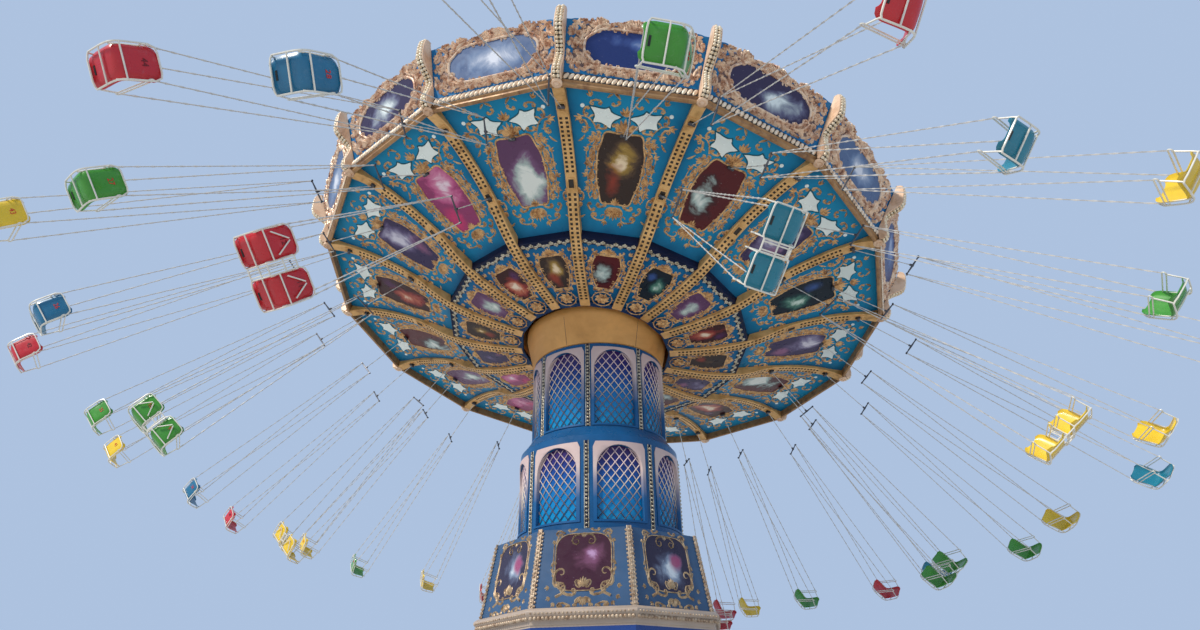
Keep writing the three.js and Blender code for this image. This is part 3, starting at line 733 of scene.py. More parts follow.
def glowing(name, ground, far, near, core, centre=(0.1, -0.1), size=0.75, second=None):
    """A painted panel of soft billows: a bright glow on a darker ground, with light flecks."""
    paint = Paint(name)
    parts = paint.node("ShaderNodeSeparateXYZ", {0: paint.place("UV")})
    place = paint.place()
    billow = paint.wander(1.5, 2.6, 5.0, 0.6, 1.2, place)
    drift = paint.wander(2.2, 1.1, 3.0, 0.5, 0.6, place)

    def distance(cx, cy, reach):
        dx = paint.math("SUBTRACT", parts.outputs[0], cx)
        dy = paint.math("SUBTRACT", parts.outputs[1], cy)
        square = paint.math("ADD", paint.math("MULTIPLY", dx, dx), paint.math("MULTIPLY", dy, dy))
        away = paint.math("DIVIDE", paint.math("POWER", square, 0.5), reach)
        return paint.math("ADD", paint.math("ADD", away, billow), drift)

    tone = paint.ramp(distance(*centre, size), [(0.10, core), (0.40, near), (0.72, far), (1.0, ground)])
    if second:
        (cx, cy), reach, color = second
        veil = paint.spread(distance(cx, cy, reach), 0.25, 0.95, 0.9, 0.0)
        tone = paint.mix(veil, tone, color)
    flecks = paint.spread(paint.noise(24.0, 3.0, 0.8, 0.0, place), 0.68, 0.78, 0.0, 0.55)
    tone = paint.mix(flecks, tone, tuple(0.4 + 0.6 * channel for channel in core))
    paint.set(base_color=tone, specular_ior_level=0.2)
    paint.worn(7.0, 4.0, 0.24, 0.4)
    return paint.bump(paint.noise(30.0, 4.0), 0.12, 0.002).material


def fading_blue(name, middle, edge, end, rough=0.33):
    """Azure in the middle of a panel, with painted shade deepening it towards its sides beside the ribs and
    towards its inner end.
    """
    paint = Paint(name)
    parts = paint.node("ShaderNodeSeparateXYZ", {0: paint.place("UV")})
    # Painted shade of the ribs: the blue deepens towards the panel's sides.
    side = paint.math("POWER", paint.math("ABSOLUTE", parts.outputs[0]), 3.0)
    tone = paint.mix(paint.math("MULTIPLY", side, 0.95), middle, edge)
    # Painted shade: the blue deepens over the panel's inner end.
    inner = paint.spread(parts.outputs[1], 0.0, 0.12, 1.0, 0.0)
    tone = paint.mix(inner, tone, end)
    drift = paint.noise(1.7, 4.0, 0.6, 0.3)
    tone = paint.mix(paint.spread(drift, 0.35, 0.75, 0.0, 0.35), tone, tinted(middle, 1.4))
    paint.set(base_color=tone, specular_ior_level=0.15)
    paint.worn(5.0, 4.0, rough - 0.07, rough + 0.12)
    return paint.bump(paint.noise(40.0, 3.0), 0.1, 0.002).material


def height_shaded(name, stops, low, high, rough=0.3, metal=0.0, coat=0.0):
    """A colour that changes with height between two levels."""
    paint = Paint(name)
    parts = paint.node("ShaderNodeSeparateXYZ", {0: paint.place()})
    level = paint.spread(parts.outputs[2], low, high)
    wobble = paint.wander(0.12, 2.5, 3.0)
    tone = paint.ramp(paint.math("ADD", level, wobble), stops)
    paint.set(base_color=tone, metallic=metal, specular_ior_level=0.3)
    paint.worn(6.0, 4.0, rough - 0.08, rough + 0.1)
    if coat:
        paint.set(coat_weight=coat)
    return paint.bump(paint.noise(50.0, 2.0), 0.06, 0.002).material


OCHRE = gilded("ochre_gold", (0.74, 0.43, 0.16), (0.62, 0.34, 0.11), (0.36, 0.18, 0.06), 0.42, 0.25, 4.0)
SCROLL_GOLD = gilded(
    "scroll_gold", (0.72, 0.44, 0.19), (0.46, 0.23, 0.09), (0.10, 0.045, 0.02), 0.34, 0.35, 11.0)
COPPER_GOLD = gilded(
    "copper_gold", (0.80, 0.60, 0.43), (0.52, 0.28, 0.17), (0.12, 0.04, 0.025), 0.36, 0.25, 9.0)
# Dark copper laid under the crown carving as painted shade in its recesses.
COPPER_SHADE = gilded(
    "copper_recess_shade", (0.20, 0.115, 0.085), (0.12, 0.07, 0.06), (0.05, 0.05, 0.07), 0.45, 0.2, 14.0)
BRONZE = gilded("bronze_gold", (0.48, 0.35, 0.21), (0.28, 0.18, 0.10), (0.10, 0.06, 0.04), 0.38, 0.4, 10.0)
BEAD_GOLD = gilded("bead_gold", (0.90, 0.77, 0.58), (0.78, 0.60, 0.38), (0.48, 0.32, 0.17), 0.32, 0.1, 12.0)
STRIP_GOLD = gilded("strip_gold", (0.52, 0.40, 0.28), (0.36, 0.24, 0.15), (0.15, 0.09, 0.06), 0.36, 0.3, 12.0)
SILVER_GOLD = gilded(
    "silver_gold", (0.60, 0.54, 0.42), (0.36, 0.30, 0.20), (0.12, 0.10, 0.08), 0.28, 0.7, 14.0)
TAN = gilded("tan_moulding", (0.78, 0.54, 0.36), (0.68, 0.43, 0.26), (0.46, 0.26, 0.15), 0.42, 0.1, 3.0)
RIM_OCHRE = gilded("rim_ochre", (0.40, 0.22, 0.09), (0.30, 0.15, 0.06), (0.13, 0.06, 0.03), 0.42, 0.2, 6.0)
DROP_CREAM = gilded("drop_cream", (0.90, 0.74, 0.56), (0.80, 0.58, 0.38), (0.50, 0.30, 0.18), 0.34, 0.1, 10.0)
# Near black, laid in holes, slots and grooves as painted shade.
DARK = painted("recess_shade", (0.035, 0.024, 0.016), 0.6, 0.0, 0.3, 6.0)
COLLAR = gilded("collar_gold", (0.74, 0.36, 0.10), (0.66, 0.31, 0.08), (0.50, 0.23, 0.06), 0.36, 0.35, 0.9)
CREAM = painted("cream_paint", (0.46, 0.36, 0.28), 0.42, 0.0, 0.1, 1.5, 80.0, 0.1, (0.30, 0.22, 0.17))
WHITE = painted("white_paint", (0.80, 0.78, 0.73), 0.4, 0.0, 0.06, 1.5, 80.0, 0.1, (0.5, 0.47, 0.42))
BAND_BLUE = painted(
    "band_blue", (0.005, 0.085, 0.23), 0.3, 0.0, 0.2, 1.2, 60.0, 0.08, (0.01, 0.05, 0.1), 0.1, 0.3)
SLATE = painted(
    "slate_blue", (0.036, 0.090, 0.185), 0.36, 0.0, 0.15, 1.2, 60.0, 0.08, (0.04, 0.06, 0.1), 0.1, 0.3)
# Near-black navy: on the mid step and behind its lace it is painted shade; the tower's bead strips also use
# it.
NAVY_AND_SHADE = painted("navy_and_shade_paint", (0.008, 0.014, 0.045), 0.34, 0.0, 0.25, 1.5, 60.0, 0.08, gloss=0.15)
BRIGHT = painted(
    "bright_blue", (0.008, 0.16, 0.38), 0.34, 0.0, 0.15, 1.0, 60.0, 0.08, (0.02, 0.06, 0.16), 0.0, 0.25)
ROOF = painted("roof_paint", (0.10, 0.22, 0.38), 0.5, 0.0, 0.2, 0.7, 40.0, 0.15, (0.10, 0.11, 0.11))
STEEL = painted("dark_steel", (0.10, 0.10, 0.11), 0.42, 0.7, 0.25, 5.0)
TUBE_WHITE = painted("tube_enamel", (0.78, 0.74, 0.64), 0.32, 0.1, 0.1, 9.0, 120.0, 0.08, (0.36, 0.32, 0.25))
CHAIN = painted("chain_zinc", (0.62, 0.59, 0.54), 0.38, 0.2, 0.12, 25.0, 200.0, 0.2, (0.30, 0.27, 0.23))
# Both ceiling blues carry painted shade at the sides and inner ends of their panels.
OUTER_BLUE = fading_blue("outer_panel_blue", (0.010, 0.24, 0.43), (0.003, 0.05, 0.15), (0.006, 0.10, 0.22))
INNER_BLUE = fading_blue("inner_panel_blue", (0.007, 0.13, 0.29), (0.002, 0.03, 0.11), (0.003, 0.02, 0.08))
MIRROR = painted("mirror_glass", (0.84, 0.90, 0.84), 0.2, 0.2, 0.05, 2.0, 20.0, 0.03)
# Dark teal round the mirrors: partly their painted outline, partly painted shadow.
MIRROR_EDGE_AND_SHADOW = painted("mirror_edge_and_shadow", (0.01, 0.10, 0.14), 0.35, 0.0, 0.1, 2.0, gloss=0.2)
SLIT = painted("black_slot", (0.01, 0.012, 0.012), 0.5, 0.0, 0.1)
STOREY_BLUE = height_shaded(
    "storey_blue", [(0.0, (0.01, 0.06, 0.16)), (0.6, (0.012, 0.08, 0.26)), (1.0, (0.015, 0.05, 0.22))],
    0.1, 2.6, 0.28, 0.0, 0.3)

SEAT_COLORS = {
    "red": (0.52, 0.012, 0.02), "yellow": (0.78, 0.52, 0.02), "green": (0.045, 0.27, 0.02),
    "teal": (0.006, 0.18, 0.26), "sea_blue": (0.008, 0.14, 0.27),
}


def plastic(name, color):
    """Moulded seat plastic with a soft mottling, scuffs and a clear gloss."""
    paint = Paint(name)
    scuff = paint.spread(paint.noise(16.0, 6.0, 0.75, 0.8), 0.56, 0.75, 0.0, 0.35)
    tone = paint.mix(paint.noise(3.0, 3.0), tinted(color, 0.75), tinted(color, 1.3))
    tone = paint.mix(scuff, tone, tuple(0.75 * channel + 0.18 for channel in color))
    paint.set(base_color=tone, coat_weight=0.15)
    paint.worn(11.0, 5.0, 0.22, 0.42)
    return paint.bump(paint.noise(220.0, 2.0), 0.12, 0.001).material


SEAT_PAINT = {name: plastic("seat_" + name, color) for name, color in SEAT_COLORS.items()}
NUMBER_RED = painted("number_red", (0.62, 0.03, 0.015), 0.45, 0.0, 0.1, 8.0)
NUMBER_DARK = painted("number_dark", (0.16, 0.004, 0.008), 0.45, 0.0, 0.1, 8.0)

PICTURES = [
    glowing("glow_mint", (0.13, 0.055, 0.12), (0.20, 0.10, 0.19), (0.42, 0.50, 0.46),
            (0.80, 0.82, 0.74), (0.1, -0.25), 0.80),
    glowing("glow_amber", (0.045, 0.028, 0.022), (0.10, 0.060, 0.035), (0.36, 0.22, 0.05),
            (0.86, 0.66, 0.42), (0.05, 0.15), 0.62, ((-0.2, -0.35), 0.5, (0.30, 0.05, 0.03))),
    glowing("glow_garnet", (0.10, 0.016, 0.018), (0.06, 0.02, 0.022), (0.40, 0.50, 0.46),
            (0.78, 0.80, 0.72), (-0.35, -0.10), 0.95),
    glowing("glow_rose", (0.30, 0.05, 0.14), (0.52, 0.10, 0.24), (0.66, 0.22, 0.36),
            (0.86, 0.66, 0.72), (0.2, 0.35), 0.85, ((-0.4, -0.45), 0.55, (0.62, 0.05, 0.16))),
    glowing("glow_dusk", (0.05, 0.035, 0.09), (0.11, 0.08, 0.17), (0.27, 0.24, 0.36),
            (0.66, 0.62, 0.70), (-0.1, 0.3), 0.8, ((0.4, -0.4), 0.45, (0.30, 0.12, 0.22))),
    glowing("glow_moss", (0.016, 0.022, 0.03), (0.02, 0.06, 0.06), (0.10, 0.24, 0.18),
            (0.60, 0.72, 0.62), (0.25, -0.1), 0.6, ((-0.45, 0.4), 0.4, (0.05, 0.10, 0.28))),
    glowing("glow_ember", (0.05, 0.016, 0.016), (0.26, 0.035, 0.03), (0.50, 0.14, 0.08),
            (0.86, 0.68, 0.50), (-0.1, -0.1), 0.75, ((0.5, 0.5), 0.45, (0.10, 0.03, 0.10))),
]
CROWN_PICTURES = [
    glowing("glow_slate", (0.09, 0.14, 0.26), (0.15, 0.22, 0.36), (0.30, 0.36, 0.48),
            (0.70, 0.72, 0.78), (-0.1, 0.0), 0.8),
    glowing("glow_violet", (0.045, 0.035, 0.08), (0.12, 0.12, 0.20), (0.34, 0.38, 0.42),
            (0.74, 0.80, 0.78), (0.1, -0.1), 0.7),
    glowing("glow_navy", (0.022, 0.04, 0.15), (0.04, 0.07, 0.22), (0.09, 0.15, 0.34),
            (0.34, 0.40, 0.56), (0.0, 0.35), 0.6),
]
SKIRT_PICTURES = [
    glowing("glow_plum", (0.05, 0.015, 0.03), (0.10, 0.035, 0.065), (0.19, 0.07, 0.14),
            (0.46, 0.28, 0.46), (0.3, 0.2), 0.6),
    glowing("glow_harbour", (0.035, 0.03, 0.06), (0.08, 0.09, 0.15), (0.26, 0.32, 0.42),
            (0.62, 0.68, 0.72), (0.05, -0.1), 0.65, ((0.35, 0.1), 0.35, (0.32, 0.05, 0.14))),
]


# Places on the canopy's panels, for the bay along +X: x runs sideways, y outwards, h towards the ground

def ceiling_place(x, y, h):
    corner = y / HALF_BAY_COS
    curve = inner_ceiling_z if np.mean(corner) < STEP_R else outer_ceiling_z
    slope = (curve(corner + 0.01) - curve(corner - 0.01)) / 0.02 / HALF_BAY_COS
    length = np.sqrt(1 + slope ** 2)
    return np.stack([y + h * slope / length, x, curve(corner) - h / length], -1)


def leaning_face(r0, z0, r1, z1, sides):
    """Place function of a flat panel between two rings, with its sizes. y runs up from its lower edge."""
    share = math.cos(math.pi / sides)
    low = np.array([r0 * share, 0.0, z0])
    high = np.array([r1 * share, 0.0, z1])
    up = (high - low) / np.linalg.norm(high - low)
    out = np.array([up[2], 0.0, -up[0]])

    def place(x, y, h):
        x, y, h = np.broadcast_arrays(np.asarray(x, float), np.asarray(y, float), np.asarray(h, float))
        return low + x[:, None] * np.array([0.0, 1.0, 0.0]) + y[:, None] * up + h[:, None] * out

    half = math.sin(math.pi / sides)
    return place, float(np.linalg.norm(high - low)), r0 * half, r1 * half


crown_place, CROWN_UP, CROWN_HALF_LOW, CROWN_HALF_HIGH = leaning_face(
    CROWN_BOTTOM_R + CROWN_T, CROWN_FOOT_Z, CROWN_TOP_R + CROWN_T, CROWN_FOOT_Z + CROWN_H, CANOPY_SIDES)
skirt_place, SKIRT_UP, _, _ = leaning_face(
    SKIRT_BOTTOM_R, CORNICE_TOP, SKIRT_TOP_R, SKIRT_TOP, BASE_SIDES)
CANOPY_BAYS = around(CANOPY_SIDES, RIB_AZ + BAY / 2)
CANOPY_RIBS = around(CANOPY_SIDES, RIB_AZ)
BASE_FACES = around(BASE_SIDES, BASE_FACE_AZ)
BASE_CORNERS = around(BASE_SIDES, BASE_CORNER_AZ)
PICTURE_OF_BAY = [4, 2, 6, 1, 5, 3, 0, 2, 6, 4, 3, 0, 1, 2, 4, 5]
INNER_OF_BAY = [1, 4, 2, 5, 6, 0, 3, 4, 1, 0, 6, 1, 2, 5, 0, 6]
CROWN_OF_BAY = [0, 1, 2, 0, 2, 1, 0, 1, 2, 0, 1, 0, 2, 1, 0, 2]


# Canopy ceilings

def ceiling_panel(r0, r1, rows, cols=5):
    rs = np.linspace(r0, r1, rows)
    ts = np.linspace(-1, 1, cols)
    under = np.stack([
        np.repeat(rs * HALF_BAY_COS, cols),
        np.outer(rs * HALF_BAY_SIN, ts).ravel(),
        np.repeat(ceiling_z(rs), cols),
    ], -1)
    uv = np.stack([np.tile(ts, rows), np.repeat(np.linspace(0, 1, rows), cols)], -1)
    over = under + np.array([0, 0, CEILING_T])
    count = rows * cols
    faces = list(grid_faces(rows, cols)) + list(grid_faces(rows, cols)[:, ::-1] + count)
    for i in range(rows - 1):
        a, b = i * cols, (i + 1) * cols
        faces.append(np.array([a, b, b + count, a + count]))
        faces.append(np.array([b + cols - 1, a + cols - 1, a + cols - 1 + count, b + cols - 1 + count]))
    for j in range(cols - 1):
        a = (rows - 1) * cols + j
        faces.append(np.array([j + 1, j, j + count, j + 1 + count]))
        faces.append(np.array([a, a + 1, a + 1 + count, a + count]))
    return Shape().add(np.vstack([under, over]), faces, uv=np.vstack([uv, uv]))


def make_ceilings():
    outer = ceiling_panel(MID_R + MID_BAND_W, RIM_R, 24).copies(CANOPY_BAYS)
    inner = ceiling_panel(INNER_R, MID_R, 16).copies(CANOPY_BAYS)
    on_canopy("outer_ceiling_panels", outer, [OUTER_BLUE], "azure", ["outer_ceiling"])
    on_canopy("inner_ceiling_panels", inner, [INNER_BLUE], "azure", ["inner_ceiling"])


OUTER_PICTURE = cartouche(0.365, 0.62, 3.6, 0.04, 6)
OUTER_PICTURE[:, 0] *= 1 + 0.20 * OUTER_PICTURE[:, 1]
INNER_PICTURE = cartouche(0.24, 0.375, 3.2, 0.035, 6)
INNER_PICTURE[:, 0] *= 1 + 0.667 * INNER_PICTURE[:, 1]


def stem(guide, away, swing, waves, width):
    """A thin wavy line that runs beside a guide."""
    share = np.linspace(0, 1, 8 * waves + 1)
    at = share * (len(guide) - 1)
    x, y = (np.interp(at, np.arange(len(guide)), guide[:, k]) for k in (0, 1))
    x = x + away + swing * np.sin(share * waves * 2 * math.pi)
    return np.stack([x, y], -1), np.full(len(x), width)


def outer_frame():
    """The frame of one outer ceiling picture: vines at its sides, arms round the mirrors, a shell below."""
    edge = right_half(OUTER_PICTURE) + np.array([0.0, OUTER_PICTURE_Y])
    sides = edge[(edge[:, 1] > 3.56) & (edge[:, 1] < 4.70)]
    strokes = vine(sides + np.array([0.035, 0.0]), 0.150, 0.145, 0.032)
    strokes += vine(sides[2:] + np.array([0.125, 0.0]), 0.215, 0.150, 0.026, 6.0)
    strokes += [stem(sides, 0.075, 0.030, 3, 0.024), stem(sides, 0.165, 0.022, 2, 0.018)]
    strokes += [
        scroll(0.60, 4.79, 72, 0.62, 420, -430, 0.042),
        scroll(0.67, 5.05, 100, 0.44, -380, 460, 0.038),
        scroll(0.50, 5.25, 172, 0.50, -400, 420, 0.036),
        scroll(0.16, 5.20, 150, 0.36, 380, -440, 0.036),
        scroll(0.11, 4.83, 50, 0.38, 430, -360, 0.042),
        scroll(0.36, 4.76, -4, 0.44, -400, 420, 0.038),
        scroll(0.21, 3.45, -18, 0.46, -400, 440, 0.042),
        scroll(0.42, 3.40, 48, 0.44, -430, 400, 0.036),
        scroll(0.28, 3.22, 12, 0.62, -300, 430, 0.028, 8),
        scroll(0.54, 3.60, 80, 0.40, 400, -400, 0.032),
        curl(0.02, 3.32, -14, 0.34, 470, 0.034),
        curl(0.44, 4.74, 62, 0.50, -150, 0.030),
        leaf(0.12, 5.30, 60, 0.15, 0.046, -40), leaf(0.32, 5.31, 120, 0.11, 0.040, 40),
        leaf(0.54, 4.76, -20, 0.14, 0.044, 40), leaf(0.48, 3.28, -50, 0.11, 0.036, 40),
        leaf(0.62, 4.62, -70, 0.16, 0.040, 40), leaf(0.58, 4.92, 120, 0.12, 0.040, 40),
    ]
    strokes += sprig(0.70, 4.90, 10, 0.13, 0.042) + sprig(0.58, 5.30, 60, 0.11, 0.036)
    strokes += sprig(0.60, 3.70, -20, 0.12, 0.036) + sprig(0.55, 3.48, -40, 0.11, 0.036)
    strokes += sprig(0.13, 3.22, -80, 0.10, 0.034) + sprig(0.30, 3.34, -60, 0.11, 0.034)
    strokes = mirrored(strokes)
    strokes += fan(0.0, 4.74, 90, 0.25, 0.062, 7, 150)
    strokes += fan(0.0, 5.02, 90, 0.19, 0.050, 5, 120)
    strokes += fan(0.0, 3.46, -90, 0.23, 0.058, 9, 160)
    strokes += fan(0.0, 3.50, 90, 0.15, 0.050, 5, 110)
    return strokes


def inner_frame():
    edge = right_half(INNER_PICTURE) * 1.03 + np.array([0.0, INNER_PICTURE_Y])
    strokes = vine(edge, 0.150, 0.125, 0.030, 0.0, 1.0)
    strokes += [
        stem(edge, 0.045, 0.015, 4, 0.018),
        scroll(0.25, 2.72, 20, 0.26, -400, 420, 0.026),
        scroll(0.37, 2.58, 80, 0.26, 400, -400, 0.026),
        scroll(0.35, 2.34, 80, 0.22, -400, 400, 0.023),
        scroll(0.29, 2.14, 70, 0.18, 400, -400, 0.021),
        scroll(0.14, 1.92, -30, 0.18, -380, 400, 0.024),
    ]
    strokes += sprig(0.37, 2.72, 45, 0.10, 0.032) + sprig(0.38, 2.46, 0, 0.08, 0.028)
    strokes += sprig(0.31, 2.24, -10, 0.08, 0.026) + sprig(0.24, 2.02, -30, 0.07, 0.024)
    strokes = mirrored(strokes)
    strokes += fan(0.0, 2.70, 90, 0.14, 0.042, 7, 150)
    return strokes


def rosette():
    """A round openwork flower near the collar."""
    strokes = []
    for k in range(8):
        a = math.radians(k * 45.0)
        x, y = 0.035 * math.cos(a), ROSETTE_Y + 0.035 * math.sin(a)
        strokes.append(curl(x, y, k * 45.0 - 18, 0.19, 420, 0.028))
        strokes.append(leaf(x, y, k * 45.0 + 22, 0.12, 0.038, 20))
        tip = (ROSETTE_R * math.cos(a), ROSETTE_Y + ROSETTE_R * math.sin(a))
        strokes.append(leaf(*tip, k * 45.0, 0.035, 0.024))
    return strokes


def ring_outline(radius, y, count=28):
    turn = np.arange(count) * 2 * math.pi / count
    return np.stack([radius * np.cos(turn), y + radius * np.sin(turn)], -1)


def splat(size):
    """A mirror with five blunt lobes of unlike reach and hollow sides between them."""
    arms = [(84, 0.74, 0.10), (160, 1.08, 0.05), (232, 0.92, 0.10), (306, 0.98, 0.05), (20, 1.02, 0.05)]
    points = []
    for k, (turn, reach, blunt) in enumerate(arms):
        after = arms[(k + 1) % len(arms)]
        gap = (after[0] - turn) % 360
        for share in np.linspace(0, 1, 11)[:-1]:
            hollow = 0.63 + 0.37 * abs(2 * share - 1) ** 2.6
            radius = (reach * (1 - share) + after[1] * share) * hollow
            wide = (blunt * (1 - share) ** 6 - after[2] * share ** 6) * 35
            angle = math.radians(turn + gap * share + wide)
            points.append((1.12 * radius * math.cos(angle), 0.96 * radius * math.sin(angle)))
    return np.array(points) * size


def rosette_place(x, y, h):
    """The rosettes stand clear of the ceiling, as deep as the ring at its inner edge."""
    return ceiling_place(x, y, h + RING_T + 0.004)


def make_ceiling_frames():
    rim = OUTER_PICTURE + np.array([0.0, OUTER_PICTURE_Y])
    outer = relief(outer_frame(), ceiling_place, 1.0)
    outer.join(band(rim, 0.032, ceiling_place, 0.020))
    on_canopy("outer_frames_a", outer.copies(CANOPY_BAYS[:8]), [SCROLL_GOLD])
    on_canopy("outer_frames_b", outer.copies(CANOPY_BAYS[8:]), [SCROLL_GOLD])
    rim = INNER_PICTURE + np.array([0.0, INNER_PICTURE_Y])
    inner = relief(inner_frame(), ceiling_place, 1.0)
    inner.join(relief(rosette(), rosette_place, 0.9))
    inner.join(band(rim, 0.024, ceiling_place, 0.016))
    inner.join(band(ring_outline(ROSETTE_R, ROSETTE_Y), 0.020, rosette_place, 0.014))
    inner.join(band(ring_outline(ROSETTE_R * 0.55, ROSETTE_Y), 0.014, rosette_place, 0.012))
    boss_at = axes(rosette_place(0.0, ROSETTE_Y, 0.004), (0, 1, 0), (1, 0, 0), (0, 0, -1))
    inner.join(bead(0.036, 8).copies([boss_at]))
    on_canopy("inner_frames", inner.copies(CANOPY_BAYS), [SCROLL_GOLD])


def make_ceiling_pictures():
    """One glowing panel in each bay of either ceiling, with its motif from the lists above."""
    for name, outline, y, motifs in (("outer_pictures", OUTER_PICTURE, OUTER_PICTURE_Y, PICTURE_OF_BAY),
                                     ("inner_pictures", INNER_PICTURE, INNER_PICTURE_Y, INNER_OF_BAY)):
        picture = plaque(outline + np.array([0.0, y]), (0.0, y), ceiling_place, 0.006, 4)
        on_canopy(name, picture.copies(CANOPY_BAYS, motifs.__getitem__), PICTURES, "picture")


def make_mirrors():
    """Two lobed mirrors in each bay of the outer ceiling, each on a larger dark teal plate that is its
    outline and its painted shadow, and a round one beside each.
    """
    mirrors = Shape()
    for side in (-1, 1):
        centre = np.array([side * MIRROR_AT[0], MIRROR_AT[1]])
        turn = math.radians(side * MIRROR_TURN)
        spun = np.array([[math.cos(turn), -math.sin(turn)], [math.sin(turn), math.cos(turn)]])
        edge = splat(MIRROR_EDGE_R) @ spun.T + centre
        glass = splat(MIRROR_R) @ spun.T + centre
        mirrors.join(plaque(edge, centre, ceiling_place, 0.004, 2, 1))
        mirrors.join(plaque(glass, centre, ceiling_place, 0.009, 2))
        dot = ring_outline(DOT_R, DOT_AT[1], 16) + np.array([side * DOT_AT[0], 0.0])
        mirrors.join(plaque(dot, (side * DOT_AT[0], DOT_AT[1]), ceiling_place, 0.009, 1))
    on_canopy("ceiling_mirrors", mirrors.copies(CANOPY_BAYS), [MIRROR, MIRROR_EDGE_AND_SHADOW], "picture")


def lace_place(x, y, h):
    return ceiling_place(x, y, h + 0.012)


def make_mid_band():
    """The upright step between the two ceilings, darkened as painted shade, and its lacy strip of running
    scrolls.
    """
    low, high = MID_R, MID_R + MID_BAND_W
    z0, z1 = float(inner_ceiling_z(low)), float(outer_ceiling_z(high))
    profile = [
        (low, z0 - 0.012), (high - 0.006, z0 - 0.012), (high, z0), (high, z1 + 0.03), (low, z1 + 0.03)]
    on_canopy("mid_step", lathe(profile, CANOPY_SIDES, RIB_AZ), [NAVY_AND_SHADE], "navy", ["mid_band"])
    strokes = []
    y = (MID_R - 0.06) * HALF_BAY_COS
    half = MID_R * HALF_BAY_SIN - 0.12
    count = 6
    for k in range(count):
        x = (k + 0.5) / count * half
        side = 1 if k % 2 else -1
        strokes.append(scroll(x, y, 8 * side, half / count * 2.3, -430 * side, 430 * side, 0.030, 8))
        strokes.append(leaf(x, y + 0.012 * side, 90 * side, 0.055, 0.032, 20))
        strokes.append(leaf(x + 0.04, y, -70 * side, 0.05, 0.030, 20))
    lace = relief(mirrored(strokes), lace_place, 0.8)
    # A near-black bed behind the lace, as painted shade.
    bed = np.array([(-1.0, y - 0.035), (1.0, y - 0.035), (1.0, y + 0.05), (-1.0, y + 0.05)])
    bed = stepped_outline(bed * [half + 0.07, 1.0], 8)
    lace.join(plaque(bed, (0.0, y), ceiling_place, 0.010, 1, 1))
    on_canopy("mid_lace", lace.copies(CANOPY_BAYS), [SILVER_GOLD, NAVY_AND_SHADE])


# Ribs

def rib_rows():
    """Stations along a rib, each with True where a row of holes follows it."""
    rows = [(INNER_R + 0.02, False)]
    r = HOLE_FROM
    while r < HOLE_TO:
        clear = all(abs(r + HOLE_L / 2 - slot) > 0.13 for slot in SLOTS)
        rows.append((r, clear))
        rows.append((r + HOLE_L, False))
        r += HOLE_PITCH
    rows += [(r, False) for r in (5.05, 5.2, 5.32, 5.42, 5.50, 5.575)]
    return rows


def rib_top(r):
    curve = inner_ceiling_z if r < MID_R + MID_BAND_W + 0.001 else outer_ceiling_z
    return float(curve(min(r, MID_R) if curve is inner_ceiling_z else r)) - 0.002


def rib_body():
    """One rib as a box with bevelled lower edges and two rows of shallow holes on its underside, painted dark
    as the shade in them.
    """
    rows = rib_rows()
    count = len(RIB_COLUMNS)
    under = []
    for r, _ in rows:
        z = float(rib_z(r))
        under += [(r, y, z + lift) for y, lift in zip(RIB_COLUMNS, RIB_EDGE)]
    over = [(r, y, rib_top(r)) for r, _ in rows for y in (RIB_COLUMNS[0], RIB_COLUMNS[-1])]
    base = len(under)
    faces, dark, deep_verts = [], [], []
    for i, (_, holed) in enumerate(rows[:-1]):
        for j in range(count - 1):
            quad = [i * count + j, (i + 1) * count + j, (i + 1) * count + j + 1, i * count + j + 1]
            if not (holed and j in HOLED_COLUMNS):
                faces.append(quad)
                continue
            # The hole's floor and walls take the dark paint as painted shade.
            start = base + len(over) + len(deep_verts)
            deep_verts += [(under[k][0], under[k][1], under[k][2] + HOLE_DEPTH) for k in quad]
            deep = list(range(start, start + 4))
            dark.append(deep)
            for k in range(4):
                dark.append([quad[k], quad[(k + 1) % 4], deep[(k + 1) % 4], deep[k]])
    for i in range(len(rows) - 1):
        left, right = base + 2 * i, base + 2 * i + 1
        faces.append([i * count, left, left + 2, (i + 1) * count])
        faces.append([i * count + count - 1, (i + 1) * count + count - 1, right + 2, right])
        faces.append([left, right, right + 2, left + 2])
    last = len(rows) - 1
    faces.append([*range(count), base + 1, base])
    faces.append([*range(last * count, last * count + count), base + 2 * last + 1, base + 2 * last][::-1])
    paints = np.array([0] * len(faces) + [1] * len(dark))
    return Shape().add(np.array(under + over + deep_verts), faces + dark, paints)


def slot_frame(r):
    """The gold frame round a hanger's slot, and a dark plate in it as the slot's painted shade."""
    slope = float(rib_z(r + 0.01) - rib_z(r - 0.01)) / 0.02
    at = axes((r, 0, float(rib_z(r))), Vector((1, 0, slope)), (0, 1, 0), Vector((slope, 0, -1)))
    bars = Shape()
    for x0, x1, y0, y1 in ((-0.10, -0.075, -0.045, 0.045), (0.075, 0.10, -0.045, 0.045),
                           (-0.10, 0.10, -0.058, -0.045), (-0.10, 0.10, 0.045, 0.058)):
        bars.join(box((x0, y0, -0.01), (x1, y1, 0.014), 0))
    plate = box((-0.075, -0.045, -0.012), (0.075, 0.045, 0.002), 1)
    return Shape().join(bars.copies([at]), plate.copies([at]))


def make_ribs():
    rib = rib_body().join(*[slot_frame(r) for r in SLOTS])
    on_canopy("gold_ribs", rib.copies(CANOPY_RIBS), [OCHRE, DARK], "gold", ["rib_frame"])
    top = float(inner_ceiling_z(INNER_R)) - 0.002
    outside = INNER_R + RING_W
    profile = [(INNER_R, top - RING_T), (outside, top - RING_T), (outside, top), (INNER_R, top)]
    # The ring's panel places are all zero, so it takes the inner blue's painted shade colour all over.
    on_canopy("inner_ring", lathe(profile, CANOPY_SIDES, RIB_AZ), [INNER_BLUE], "azure")


# Rim, brackets and crown

